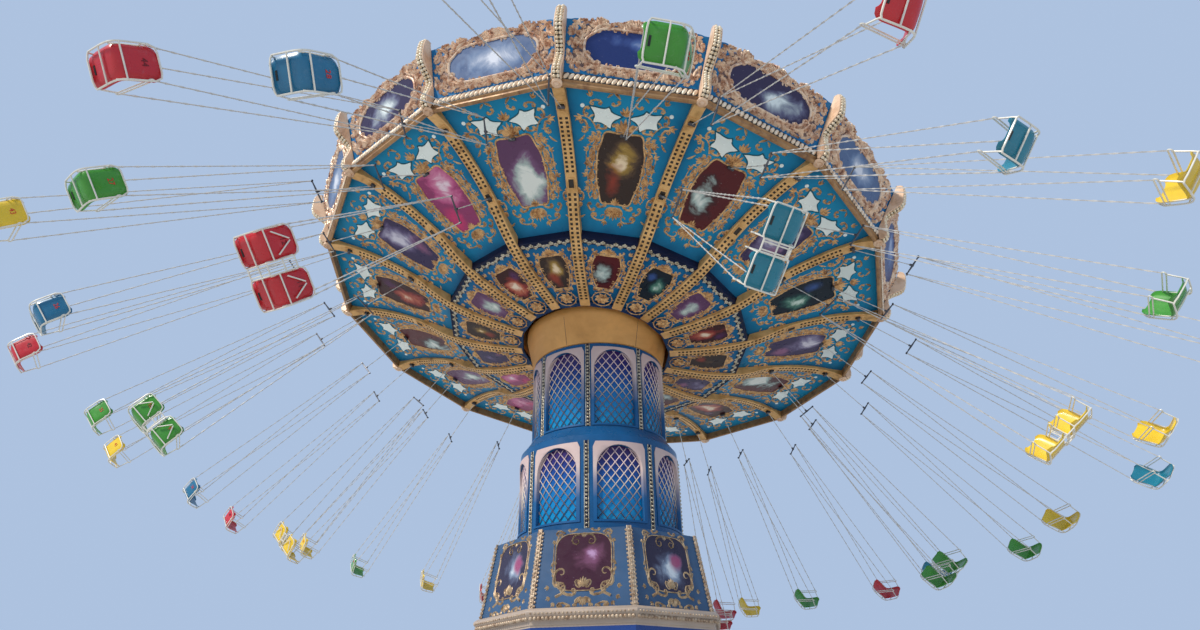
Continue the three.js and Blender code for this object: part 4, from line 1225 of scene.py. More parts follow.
def bracket_path():
    """The outer edge of a corner bracket in the radial plane, as an S curve from foot to head."""
    foot = CROWN_BOTTOM_R + CROWN_T
    head = CROWN_TOP_R + CROWN_T
    z0 = RIM_Z - RIM_DEPTH + 0.04
    z1 = CROWN_FOOT_Z + CROWN_H
    knots = np.array([
        (foot + 0.02, z0 - 0.01), (foot + 0.105, z0 + 0.03), (foot + 0.145, z0 + 0.14),
        (foot + 0.135, z0 + 0.30), (foot + 0.17, z0 + 0.52), (head + 0.06, z1 - 0.36),
        (head + 0.135, z1 - 0.16), (head + 0.155, z1 + 0.02), (head + 0.13, z1 + 0.095),
        (head + 0.06, z1 + 0.118),
    ])
    return smooth_path(knots, 5)


def smooth_path(knots, per):
    """A smooth curve through knots, in so many steps from each knot to the next."""
    knots = np.asarray(knots, float)
    padded = np.vstack([2 * knots[0] - knots[1], knots, 2 * knots[-1] - knots[-2]])
    points = []
    for i in range(len(knots) - 1):
        p0, p1, p2, p3 = padded[i:i + 4]
        for t in np.arange(per) / per:
            points.append(0.5 * ((2 * p1) + (p2 - p0) * t + (2 * p0 - 5 * p1 + 4 * p2 - p3) * t ** 2
                                 + (3 * p1 - p0 - 3 * p2 + p3) * t ** 3))
    points.append(knots[-1])
    return np.array(points)


def make_brackets():
    """The corner brackets, each with a dark middle strip painted as the shade of a groove, a boss at its foot
    and two rows of beads.
    """
    path = bracket_path()
    out = -left_of(path)
    half = POST_W / 2
    face = [(-half, -0.012), (-half, 0.0), (-half + 0.012, 0.008), (-half + 0.022, 0.0),
            (half - 0.022, 0.0), (half - 0.012, 0.008), (half, 0.0), (half, -0.012)]
    rows = []
    foot = CROWN_BOTTOM_R + CROWN_T
    lean = (CROWN_TOP_R - CROWN_BOTTOM_R) / CROWN_H
    for (r, z), (nr, nz) in zip(path, out):
        row = [(r + nr * h, y, z + nz * h) for y, h in face]
        back = foot + max(0.0, z - CROWN_FOOT_Z) * lean + 0.002
        back = min(back, r - 0.02)
        rows.append([(back, -half, z), *row, (back, half, z)])
    width = len(rows[0])
    faces = grid_faces(len(rows), width, False, True)
    ends = [np.arange(width), (np.arange(width) + (len(rows) - 1) * width)[::-1]]
    # The middle strip of the face takes dark paint as painted shade.
    groove = np.where((np.arange(len(faces)) % width) == 4, 1, 0)
    made = Shape().add(np.array(rows).reshape(-1, 3), [*faces, *ends], np.concatenate([groove, [0, 0]]))
    boss = lathe_solid([(0, -0.01), (0.085, -0.01), (0.085, 0.012), (0.06, 0.03), (0.045, 0.022),
                        (0.03, 0.045), (0, 0.055)], 16)
    at = axes((RIM_R + 0.05, 0, RIM_Z - RIM_DEPTH + 0.012), (1, 0, 0), (0, -1, 0), (0, 0, -1))
    made.join(boss.copies([at]))
    on_canopy("corner_brackets", made.copies(CANOPY_RIBS), [TAN, DARK])
    make_bracket_beads(path, out)


def make_bracket_beads(path, out):
    along = lengths_along(path)
    spots = []
    for mark in np.arange(0.05, along[-1] - 0.02, BRACKET_BEAD_PITCH):
        r, z = (np.interp(mark, along, path[:, k]) for k in (0, 1))
        nr, nz = (np.interp(mark, along, out[:, k]) for k in (0, 1))
        for y in (-0.029, 0.029):
            spots.append(axes((r, y, z), (nz, 0, -nr), (0, 1, 0), (nr, 0, nz)))
    beads = bead(0.031, 6).copies(spots)
    on_canopy("bracket_beads", beads.copies(CANOPY_RIBS), [BEAD_GOLD])


def make_rim():
    """The moulding under the crown boards, with a row of big slanting drops on a dark strip painted as the
    shade of a groove.
    """
    z0 = RIM_Z - RIM_DEPTH
    profile = [
        (RIM_R, z0 + 0.006), (RIM_R + 0.035, z0), (RIM_R + 0.060, z0 + 0.014), (RIM_R + 0.066, z0 + 0.035),
        (RIM_R + 0.055, z0 + 0.050), (RIM_R + 0.062, z0 + 0.065), (RIM_R + RIM_OUT, z0 + 0.078),
        (RIM_R + RIM_OUT, z0 + 0.2), (RIM_R + RIM_OUT, CROWN_FOOT_Z), (RIM_R, CROWN_FOOT_Z),
    ]
    on_canopy("rim_moulding", lathe(profile, CANOPY_SIDES, RIB_AZ), [RIM_OCHRE], "gold", ["rim_cornice"])
    half = (RIM_R + RIM_OUT) * HALF_BAY_SIN - POST_W / 2 - 0.01
    wall = (RIM_R + RIM_OUT) * HALF_BAY_COS
    # A dark plate behind the drops, as painted shade.
    groove = box((wall - 0.004, -half, z0 + 0.084), (wall + 0.003, half, CROWN_FOOT_Z - 0.004))
    on_canopy("rim_groove", groove.copies(CANOPY_BAYS), [DARK])
    pitch = 2 * half / RIM_DROPS
    spots = []
    for k in range(RIM_DROPS):
        y = -half + (k + 0.5) * pitch
        spots.append(axes((wall + 0.001, y, z0 + RIM_DROP_Z), (0, 1, 0), (0, 0.34, 1), (1, 0, 0)))
    size = Matrix.Diagonal((pitch * 0.46, 0.080, 0.045, 1.0))
    drops = bead(1.0, 8, 0.8).copies([size]).copies(spots)
    on_canopy("rim_drops", drops.copies(CANOPY_BAYS), [DROP_CREAM])


def crest(x):
    """How far the crown board rises above its straight top at x."""
    s = np.abs(x) / CROWN_HALF_HIGH
    rise = 0.12 * np.exp(-(s / 0.16) ** 2) + 0.075 * np.exp(-((s - 0.50) / 0.10) ** 2)
    rise = rise + 0.03 * np.exp(-((s - 0.80) / 0.06) ** 2)
    return rise * np.clip((0.97 - s) / 0.12, 0, 1)


def make_crown_boards():
    cols, rows = 49, 5
    ts = np.linspace(-1, 1, cols)
    front = []
    for i in range(rows):
        share = i / (rows - 1)
        half = CROWN_HALF_LOW + (CROWN_HALF_HIGH - CROWN_HALF_LOW) * share
        x = ts * half
        y = share * (CROWN_UP + crest(ts * CROWN_HALF_HIGH))
        front.append(np.stack([x, y], -1))
    front = np.vstack(front)
    outer = crown_place(front[:, 0], front[:, 1], 0.0)
    inner = crown_place(front[:, 0], front[:, 1], -CROWN_T)
    board = sheet(outer, inner, rows, cols)
    on_canopy("crown_panels", board.copies(CANOPY_BAYS), [BRIGHT], "azure", ["crown_boards"])


CROWN_PICTURE = cartouche(0.76, 0.335, 3.1, 0.03, 6, 72)


def crown_frame():
    """The heavy carved band round a crown board's picture: two rows of vines and bold corner scrolls."""
    centre = np.array([0.0, CROWN_PICTURE_Y])
    inside = right_half(CROWN_PICTURE * 1.08) + centre
    strokes = vine(inside, 0.185, 0.170, 0.052)
    outside = right_half(cartouche(0.95, 0.435, 5.0, 0.015, 6)) + centre
    strokes += vine(outside, 0.220, 0.195, 0.056, 0.0, 0.85)
    strokes += [
        scroll(0.70, 0.20, 38, 0.86, -420, 400, 0.080, 9),
        scroll(0.84, 0.60, 105, 0.62, 400, -420, 0.070, 9),
        scroll(0.55, 0.88, 158, 0.66, -400, 420, 0.066, 9),
        scroll(0.22, 0.93, 172, 0.44, 420, -400, 0.060, 8),
        scroll(0.28, 0.125, 8, 0.58, 400, -430, 0.056, 8),
        scroll(0.90, 0.86, 60, 0.38, -430, 430, 0.054),
        scroll(0.93, 0.16, -60, 0.36, 430, -430, 0.052),
        leaf(0.36, 0.97, 70, 0.12, 0.05, 30), leaf(0.62, 0.95, 60, 0.11, 0.05, 30),
        leaf(0.10, 1.00, 75, 0.11, 0.05, 30), leaf(0.95, 0.50, 10, 0.10, 0.05, 60),
    ]
    strokes = mirrored(strokes)
    strokes += fan(0.0, 0.88, 90, 0.20, 0.075, 7, 150)
    strokes += fan(0.0, 0.18, -90, 0.13, 0.06, 7, 150)
    return [(fitted_to_board(points), widths) for points, widths in strokes]


def fitted_to_board(points):
    """Keeps ornament on its board: inside its slanting sides, and no higher than its crest."""
    x, y = points[:, 0], points[:, 1]
    share = np.clip(y / CROWN_UP, 0, 1)
    reach = CROWN_HALF_LOW + (CROWN_HALF_HIGH - CROWN_HALF_LOW) * share - POST_W / 2 - CROWN_MARGIN
    x = np.sign(x) * np.minimum(np.abs(x), reach)
    y = np.clip(y, 0.055, CROWN_UP + crest(x) + 0.012)
    return np.stack([x, y], -1)


def make_crown_ornament():
    rim = CROWN_PICTURE + np.array([0.0, CROWN_PICTURE_Y])
    carving = relief(crown_frame(), crown_place, 1.35)
    carving.join(band(rim, 0.048, crown_place, 0.034))
    on_canopy("crown_frames_a", carving.copies(CANOPY_BAYS[:8]), [COPPER_GOLD])
    on_canopy("crown_frames_b", carving.copies(CANOPY_BAYS[8:]), [COPPER_GOLD])
    # A dark plate under the carving shows between its strokes as painted shade.
    bed_at = (0.0, CROWN_PICTURE_Y - 0.01)
    bed = plaque(cartouche(0.93, 0.40, 5.0, 0.02, 6, 72) + np.array(bed_at), bed_at, crown_place, 0.004, 1)
    on_canopy("crown_beds", bed.copies(CANOPY_BAYS), [COPPER_SHADE])
    picture = plaque(rim, (0.0, CROWN_PICTURE_Y), crown_place, 0.010, 2)
    pictures = picture.copies(CANOPY_BAYS, CROWN_OF_BAY.__getitem__)
    on_canopy("crown_pictures", pictures, CROWN_PICTURES, "picture")


def make_roof():
    """The low roof, with a seam over each rib and a thin one in the middle of each bay, and its cap."""
    edge = RIM_R - 0.01
    foot = RIM_Z + CEILING_T
    z_edge = foot + 0.09
    under = [(INNER_R + 0.2, 1.2), (RIM_R - 0.15, foot + 0.05), (RIM_R - 0.15, foot + 0.004)]
    profile = [(ROOF_HOLE_R, ROOF_TOP - 0.04), *under, (edge, foot + 0.004), (edge, z_edge),
               (ROOF_HOLE_R, ROOF_TOP)]
    roof = lathe(profile, CANOPY_SIDES, RIB_AZ)
    rise = (ROOF_TOP - z_edge) / (ROOF_HOLE_R - edge)
    ends = [(r, 0, z_edge + (r - edge) * rise + 0.004) for r in (ROOF_HOLE_R + 0.02, edge - 0.03)]
    high = ((ROOF_HOLE_R + 0.05) * HALF_BAY_COS, 0, ROOF_TOP - 0.006)
    low = (edge * HALF_BAY_COS - 0.03, 0, z_edge + 0.006)
    roof.join(tube(ends, 0.026, 6).copies(CANOPY_RIBS), tube([high, low], 0.012, 5).copies(CANOPY_BAYS))
    on_canopy("roof_panels", roof, [ROOF], "roof", ["canopy_roof"])
    z = ROOF_TOP + 0.021
    cap = lathe_solid([
        (0, z), (0.52, z), (0.525, z + 0.02), (0.50, z + 0.06), (0.47, z + 0.07), (0.45, z + 0.11),
        (0.40, z + 0.17), (0.32, z + 0.22), (0.23, z + 0.26), (0.13, z + 0.29), (0.085, z + 0.31),
        (0.06, z + 0.34), (0.058, z + 0.39), (0.085, z + 0.43), (0.11, z + 0.47), (0.10, z + 0.52),
        (0.06, z + 0.56), (0.02, z + 0.585), (0, z + 0.59)], 48)
    on_canopy("roof_finial", cap, [BEAD_GOLD], "gold", ["roof_cap"])


# Tower

def drum_place(r, az):
    """Place function on a drum: x along the arc, y up, h outwards."""

    def place(x, y, h):
        angle = math.radians(az) + np.asarray(x, float) / r
        out = r + np.asarray(h, float)
        up = np.asarray(y, float) * np.ones_like(angle)
        return np.stack([np.cos(angle) * out, np.sin(angle) * out, up], -1)

    return place


def arch_outline(width, sill, spring, steps=20, sill_steps=8):
    half = width / 2
    bottom = [(x, sill) for x in np.linspace(-half, half, sill_steps)]
    sides = [(half, z) for z in np.linspace(sill, spring, 6)[1:-1]]
    top = [(half * math.cos(a), spring + half * math.sin(a)) for a in np.linspace(0, math.pi, steps)]
    down = [(-half, z) for z in np.linspace(spring, sill, 6)[1:-1]]
    return np.array(bottom + sides + top + down)


def surround(width, sill, spring, panel_w, panel_top, r, az):
    """A cream panel with a round-headed opening, bent round the drum and standing a little proud."""
    inner = arch_outline(width, sill, spring)
    half = panel_w / 2
    outer = []
    for x, z in inner:
        if z <= sill + 1e-6:
            outer.append((x * half / (width / 2), sill - 0.035))
        elif z < spring - 1e-6:
            outer.append((math.copysign(half, x), z))
        else:
            angle = math.atan2(z - spring, x)
            reach_x = half / max(1e-6, abs(math.cos(angle)))
            reach_z = (panel_top - spring) / max(1e-6, math.sin(angle))
            reach = min(reach_x, reach_z)
            outer.append((reach * math.cos(angle), spring + reach * math.sin(angle)))
    outer = np.array(outer)
    place = drum_place(r, az)
    proud, back = 0.016, -DRUM_T + 0.002
    step = outer - inner
    rings = [(inner, back), (inner, proud - 0.006), (inner + step * 0.06, proud),
             (inner + step * 0.5, proud), (outer, proud), (outer, 0.0005)]
    verts = [place(ring[:, 0], ring[:, 1], np.full(len(ring), h)) for ring, h in rings]
    return Shape().add(np.vstack(verts), grid_faces(len(rings), len(inner), True, True))


def lattice(width, sill, spring, r, az, pitch=0.150, rise=1.25, bar=0.017):
    """Crossing diagonal bars inside an arch, bent round the drum."""
    place = drum_place(r, az)
    half = width / 2
    strokes = []
    top = spring + half
    for sign in (-1, 1):
        direction = np.array([sign, rise]) / math.hypot(1, rise)
        for k in range(-14, 16):
            start = np.array([k * pitch + sign * -half, sill])
            s = np.linspace(0, (top - sill) * 1.4, 90)
            line = start + s[:, None] * direction
            x, z = line[:, 0], line[:, 1]
            inside = (np.abs(x) <= half) & (z <= top)
            inside &= (z <= spring) | (x ** 2 + (z - spring) ** 2 <= half ** 2)
            where = np.flatnonzero(inside)
            if len(where) > 2:
                run = line[where[0]:where[-1] + 1]
                keep = np.linspace(0, len(run) - 1, 8).astype(int)
                strokes.append((run[keep], np.full(8, bar)))
    return relief(strokes, place, 1.2)


def stage_profile(r, low, top, ledge):
    """Half section of a stage's shell. The lower stage has a ledge that stands clear of the upper one."""
    inside = r - DRUM_T
    if ledge is None:
        return [(inside, low), (r, low), (r, top - 0.01), (r - 0.01, top), (SPIGOT_HOLE_R, top),
                (SPIGOT_HOLE_R, top - 0.09), (inside, top - 0.09)]
    bore = UPPER_R + SLIDE_ROOM
    return [(inside, low), (r, low), (r, top), (r - 0.03, top + 0.035), (bore + 0.02, ledge - 0.02),
            (bore + 0.01, ledge), (bore, ledge), (bore, top - 0.06), (inside, top - 0.06)]


def window_cutter(stage, r):
    """Arched blocks that cut the windows out of a drum."""
    outline = arch_outline(stage["width"] - 0.004, stage["sill"], stage["spring"])
    count = len(outline)
    near = np.column_stack([np.full(count, r - CUTTER_REACH), outline])
    far = np.column_stack([np.full(count, r + CUTTER_REACH), outline])
    faces = [[i, (i + 1) % count, count + (i + 1) % count, count + i] for i in range(count)]
    faces += [list(range(count))[::-1], list(range(count, 2 * count))]
    return Shape().add(np.vstack([near, far]), faces).copies(around(WINDOWS, WINDOW_AZ))


def make_shell(stage, r, profile):
    label = stage["label"]
    shell = piece(f"{label}_shell", lathe(profile, ROUND), [BAND_BLUE], label, [stage["drum"]], slot="blue")
    tool = piece(f"{label}_cutter", window_cutter(stage, r), [BAND_BLUE], label)
    cut = shell.modifiers.new("windows", "BOOLEAN")
    cut.operation = "DIFFERENCE"
    cut.solver = "EXACT"
    cut.object = tool
    settle(shell)
    bpy.data.objects.remove(tool)
    shell.data.set_sharp_from_angle(angle=math.radians(30))


WINDOW_FADE = [(0.0, (0.005, 0.09, 0.25)), (0.28, (0.012, 0.10, 0.26)), (0.50, (0.26, 0.25, 0.32)),
               (0.68, (0.62, 0.49, 0.45)), (1.0, (0.60, 0.44, 0.41))]
# The lattice's dark lower third is painted shade; above it the cream and pink are its paint.
LATTICE_FADE_AND_SHADE = [(0.0, (0.06, 0.07, 0.12)), (0.30, (0.20, 0.17, 0.18)), (0.52, (0.72, 0.62, 0.50)),
                (0.8, (0.80, 0.62, 0.60)), (1.0, (0.50, 0.36, 0.42))]
PANE_FADE = [(0.0, (0.002, 0.26, 0.52)), (0.30, (0.002, 0.20, 0.50)), (0.58, (0.003, 0.08, 0.33)),
             (0.80, (0.015, 0.02, 0.16)), (1.0, (0.05, 0.012, 0.08))]


def make_windows(stage, r):
    """Surrounds, lattice and panes of a stage's windows, whose paint fades with height; the lattice's dark
    lower part is painted shade.
    """
    label, width, sill, spring = (stage[key] for key in ("label", "width", "sill", "spring"))
    top, frame_top = spring + width / 2, stage["frame_top"]
    frames, bars = Shape(), Shape()
    for az in np.arange(WINDOWS) * 360.0 / WINDOWS + WINDOW_AZ:
        frames.join(surround(width, sill, spring, width + 2 * stage["margin"], frame_top, r, az))
        bars.join(lattice(width - 0.01, sill + 0.005, spring, r - DRUM_T + 0.012, az))
    frame_paint = height_shaded(f"{label}_frame_paint", WINDOW_FADE, sill, frame_top, 0.4, 0.0)
    piece(f"{label}_window_frames", frames, [frame_paint], label, slot="cream")
    bar_paint = height_shaded(f"{label}_lattice_shade_paint", LATTICE_FADE_AND_SHADE, sill, top, 0.35, 0.1)
    piece(f"{label}_lattice", bars, [bar_paint], label, slot="cream")
    glass = height_shaded(f"{label}_window_paint", PANE_FADE, sill, top, 0.16, 0.0, 0.12)
    outer = r - DRUM_T - 0.0005
    pane = lathe([(outer - 0.011, sill - 0.025), (outer, sill - 0.025), (outer, top + 0.024),
                  (outer - 0.011, top + 0.024)], ROUND)
    piece(f"{label}_window_panes", pane, [glass], label, [stage["panes"]], slot="navy")


def make_bead_columns(label, r, low, top):
    """Upright strips of beads between the windows."""
    column = Shape()
    half = 0.034
    for side in (-half / r, half / r):
        x, y = (r + 0.006) * math.cos(side), (r + 0.006) * math.sin(side)
        column.join(tube([(x, y, low), (x, y, top)], 0.009, 6))
    column.join(box((r - 0.004, -half, low), (r + 0.006, half, top), 1))
    for z in np.arange(low + 0.03, top - 0.02, 0.066):
        at = axes((r + 0.006, 0, z), (0, 1, 0), (0, 0, 1), (1, 0, 0))
        column.join(bead(0.024, 8, 1.1).copies([at]))
    piece(f"{label}_bead_columns", column.copies(around(WINDOWS)), [SILVER_GOLD, NAVY_AND_SHADE], label, slot="gold")


def settle(made):
    """Turns the object's modifiers into its mesh."""
    graph = bpy.context.evaluated_depsgraph_get()
    mesh = bpy.data.meshes.new_from_object(made.evaluated_get(graph))
    made.modifiers.clear()
    made.data = mesh


LOWER_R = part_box("lower_drum")[1].x
UPPER_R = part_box("upper_drum")[1].x


def make_tower():
    lower_low, lower_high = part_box("lower_drum")
    upper_low, upper_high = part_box("upper_drum")
    make_shell(LOWER_STAGE, LOWER_R,
               stage_profile(LOWER_R, lower_low.z, lower_high.z - LEDGE_H, lower_high.z))
    make_windows(LOWER_STAGE, LOWER_R)
    make_bead_columns("lower_stage", LOWER_R, SKIRT_TOP - 0.1, LOWER_STAGE["frame_top"] + 0.02)
    make_shell(UPPER_STAGE, UPPER_R, stage_profile(UPPER_R, upper_low.z, upper_high.z, None))
    make_windows(UPPER_STAGE, UPPER_R)
    make_bead_columns("upper_stage", UPPER_R, UPPER_STAGE["sill"] - 0.05, upper_high.z - 0.01)


def collar_cheek(y, low):
    """One of the two uprights that carry the trunnion, as four blocks round its bearing."""
    near, far = y - CHEEK_HALF_T, y + CHEEK_HALF_T
    cheek = box((-CHEEK_HALF_W, near, low + 0.07), (CHEEK_HALF_W, far, BEARING_LOW), 1)
    cheek.join(box((-CHEEK_HALF_W, near, BEARING_LOW), (-BEARING_HALF_W, far, CHEEK_TOP), 1))
    cheek.join(box((BEARING_HALF_W, near, BEARING_LOW), (CHEEK_HALF_W, far, CHEEK_TOP), 1))
    return cheek.join(box((-BEARING_HALF_W, near, BEARING_HIGH), (BEARING_HALF_W, far, CHEEK_TOP), 1))


def make_collar():
    """The flared gold drum of the turning head, with the trunnion's uprights inside it."""
    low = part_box("upper_drum")[1].z + TURN_GAP
    r, wide, top = COLLAR_R, COLLAR_TOP_R, COLLAR_TOP
    flare, t = COLLAR_FLARE_TOP, COLLAR_T
    collar = lathe_solid([
        (0, low - SPIGOT_DEPTH), (SPIGOT_R, low - SPIGOT_DEPTH), (SPIGOT_R, low), (r - 0.014, low),
        (r - 0.002, low + 0.006), (r + 0.001, low + 0.03), (wide - 0.008, flare - 0.04),
        (wide, flare + 0.02), (wide, top - 0.01), (wide - 0.01, top), (wide - t, top),
        (wide - t, flare), (r - t, low + 0.08), (0, low + 0.08)], ROUND)
    cheeks = Shape().join(collar_cheek(-CHEEK_Y, low), collar_cheek(CHEEK_Y, low))
    tilt_az = math.degrees(math.atan2(spin_axis.y, spin_axis.x))
    collar.join(cheeks.copies([spin(tilt_az)]))
    seam = tube([(r + 0.001, 0, low + 0.01), (wide - 0.008, 0, flare - 0.04)], 0.0025, 4, False, 1)
    collar.join(seam.copies([spin(az) for az in range(12, 372, 60)]))
    piece("collar_skin", collar, [COLLAR, STEEL], "head", ["head_collar"], slot="gold")


# Base

def skirt_deck():
    """The flat ring between the skirt's top and the hole in which the lower stage slides."""
    count = 64
    angles = np.radians(np.arange(count) * 360.0 / count)
    apothem = (SKIRT_TOP_R - 0.06) * BASE_COS
    offset = np.radians((np.degrees(angles) - BASE_FACE_AZ + 22.5) % 45.0 - 22.5)
    outer_r = apothem / np.cos(offset)
    inner_r = np.full(count, LOWER_R + SLIDE_ROOM)
    rings = []
    for radius, drop in ((inner_r, 0.05), (outer_r, 0.05), (outer_r, 0.004), (inner_r, 0.001)):
        z = np.full(count, SKIRT_TOP - drop)
        rings.append(np.stack([np.cos(angles) * radius, np.sin(angles) * radius, z], -1))
    return Shape().add(np.vstack(rings), grid_faces(4, count, True, True))


def make_skirt():
    skirt = lathe([
        (SKIRT_BOTTOM_R - 0.06, CORNICE_TOP), (SKIRT_BOTTOM_R, CORNICE_TOP),
        (SKIRT_TOP_R + 0.004, SKIRT_TOP - 0.02), (SKIRT_TOP_R - 0.012, SKIRT_TOP),
        (SKIRT_TOP_R - 0.06, SKIRT_TOP), (SKIRT_TOP_R - 0.06, SKIRT_TOP - 0.06)], BASE_SIDES, BASE_CORNER_AZ)
    skirt.join(skirt_deck())
    piece("skirt_panels", skirt, [SLATE], "base", ["base_skirt"], slot="blue")
    rim = cartouche(0.43, 0.43, 5.0, 0.02, 4) + np.array([0.0, SKIRT_PICTURE_Y])
    picture = plaque(rim, (0.0, SKIRT_PICTURE_Y), skirt_place, 0.005, 2)
    pictures = picture.copies(BASE_FACES, lambda i: i % 2)
    piece("skirt_pictures", pictures, SKIRT_PICTURES, "base", slot="picture")
    carving = relief(skirt_frame(), skirt_place, 0.95)
    carving.join(band(rim, 0.018, skirt_place, 0.016))
    piece("skirt_frames", carving.copies(BASE_FACES), [BRONZE], "base", slot="gold")


def make_skirt_corners():
    """The beaded strips on the skirt's corners."""
    low = np.array([SKIRT_BOTTOM_R, 0.0, CORNICE_TOP])
    high = np.array([SKIRT_TOP_R, 0.0, SKIRT_TOP])
    length = float(np.linalg.norm(high - low))
    up = (high - low) / np.linalg.norm(high - low)
    out = np.array([up[2], 0.0, -up[0]])
    at = axes(low - out * 0.02, (0, 1, 0), up, out)
    strip = box((-0.034, 0.0, 0.0), (0.034, length + 0.01, 0.030), 0)
    for x in (-0.034, 0.034):
        strip.join(tube([(x, 0.0, 0.026), (x, length + 0.01, 0.026)], 0.007, 6))
    for y in np.arange(0.035, length, 0.062):
        strip.join(bead(0.021, 7).copies([Matrix.Translation((0, y, 0.030))]))
        for side in (-1, 1):
            strip.join(bead(0.024, 7, 0.55).copies([Matrix.Translation((side * 0.044, y, 0.008))]))
    piece("skirt_corner_strips", strip.copies([at]).copies(BASE_CORNERS), [STRIP_GOLD], "base", slot="gold")


def make_cornice():
    """The moulding between storey and skirt, with a row of eggs and a row of pearls."""
    r, z, top = CORNICE_R, STOREY_TOP, CORNICE_TOP
    cornice = lathe([
        (WALL_R - 0.05, z), (2.04, z), (2.045, z + 0.025), (2.06, z + 0.03), (2.065, z + 0.085),
        (2.10, z + 0.11), (2.125, z + 0.15), (r - 0.012, z + 0.165), (r, z + 0.185), (r, top - 0.05),
        (r - 0.015, top - 0.03), (r - 0.06, top), (WALL_R - 0.05, top)], BASE_SIDES, BASE_CORNER_AZ)
    piece("cornice_moulding", cornice, [CREAM], "base", ["base_cornice"], slot="cream")
    half = r * BASE_SIN - 0.03
    eggs = Shape()
    for k in range(CORNICE_EGGS):
        x = -half + (k + 0.5) * 2 * half / CORNICE_EGGS
        egg_at = axes((2.112 * BASE_COS, x, z + 0.118), (0, 1, 0), (0.5, 0, 0.86), (0.86, 0, -0.5))
        eggs.join(bead(0.033, 8, 0.9).copies([egg_at]))
        pearl_at = axes((r * BASE_COS - 0.002, x, top - 0.075), (0, 1, 0), (0, 0, 1), (1, 0, 0))
        eggs.join(bead(0.017, 6).copies([pearl_at]))
    piece("cornice_eggs", eggs.copies(BASE_FACES), [STRIP_GOLD], "base", slot="gold")


def make_base():
    make_skirt()
    make_skirt_corners()
    make_cornice()
    make_storey()
    make_storey_lattice()


def skirt_frame():
    """The open frame of a base picture: an arch and loops above, big volutes and a leafy fringe below."""
    strokes = [
        scroll(0.0, 1.115, 0, 1.02, 420, -420, 0.036, 10),
        scroll(0.17, 1.16, -14, 0.40, -400, 420, 0.026),
        curl(0.30, 1.13, 40, 0.34, -470, 0.030),
        scroll(0.41, 1.05, 95, 0.44, 400, 420, 0.030),
        scroll(0.45, 0.44, -80, 0.72, 300, -520, 0.040, 10),
        curl(0.42, 0.16, 160, 0.60, -560, 0.038, 13),
        scroll(0.24, 0.19, 14, 0.66, -440, 420, 0.036, 9),
        scroll(0.11, 0.33, 62, 0.34, -400, 430, 0.030),
        scroll(0.30, 0.07, 8, 0.46, 400, -420, 0.028),
        scroll(0.08, 0.13, -30, 0.32, 400, -420, 0.028),
        curl(0.50, 0.62, 100, 0.22, 430, 0.024),
        curl(0.50, 0.58, -100, 0.20, -430, 0.022),
    ]
    straight = np.linspace(0, 1, 4)[:, None]
    for x in (0.438, 0.476):
        run = np.array([x, 0.46]) * (1 - straight) + np.array([x - 0.012, 1.02]) * straight
        strokes.append((run, np.full(4, 0.018)))
    for x, y, heading in ((0.52, 0.30, -5), (0.50, 0.15, -25), (0.43, 0.07, -45), (0.33, 0.05, -75),
                          (0.22, 0.05, -95), (0.12, 0.06, -85)):
        strokes += sprig(x, y, heading, 0.075, 0.026)
    strokes = mirrored(strokes)
    strokes += fan(0.0, 0.30, 90, 0.17, 0.046, 7, 130)
    strokes += fan(0.0, 0.14, -90, 0.13, 0.040, 7, 150)
    strokes += fan(0.0, 1.13, -90, 0.09, 0.030, 5, 120)
    low, high = [-0.62, 0.012], [0.62, SKIRT_UP - 0.012]
    return [(np.clip(points, low, high), widths * 1.2) for points, widths in strokes]


def make_storey():
    """The lower storey: floor, columns, lintel and walls."""
    floor = lathe_solid([(0, 0), (1.985, 0), (2.0, 0.015), (2.0, FLOOR_H - 0.02), (1.98, FLOOR_H),
                         (0, FLOOR_H)], BASE_SIDES, BASE_CORNER_AZ)
    low, high = FLOOR_H, LINTEL_LOW
    lintel = lathe([(WALL_R - 0.05, high), (2.02, high), (2.03, high + 0.03), (2.04, high + 0.04),
                    (2.04, STOREY_TOP), (WALL_R - 0.05, STOREY_TOP)], BASE_SIDES, BASE_CORNER_AZ)
    column = lathe([
        (0.0, low - 0.001), (0.094, low - 0.001), (0.094, low + 0.05), (0.078, low + 0.075),
        (0.084, low + 0.10), (0.07, low + 0.12), (0.066, 1.3), (0.06, high - 0.16), (0.075, high - 0.14),
        (0.066, high - 0.12), (0.07, high - 0.09), (0.094, high - 0.05), (0.094, high + 0.001),
        (0.0, high + 0.001)], 20)
    column = column.copies([Matrix.Translation((COLUMN_AT, 0, 0))])
    storey = Shape().join(floor, column.copies(BASE_CORNERS), lintel.copies([UPRIGHT], lambda i: 1))
    piece("storey_frame", storey, [WHITE, STOREY_BLUE], "base", ["base_frame"], slot="cream")
    wall = lathe([(WALL_R - 0.05, low), (WALL_R, low), (WALL_R, high), (WALL_R - 0.05, high)],
                 BASE_SIDES, BASE_CORNER_AZ)
    piece("storey_walls", wall, [STOREY_BLUE], "base", ["base_wall"], slot="navy")


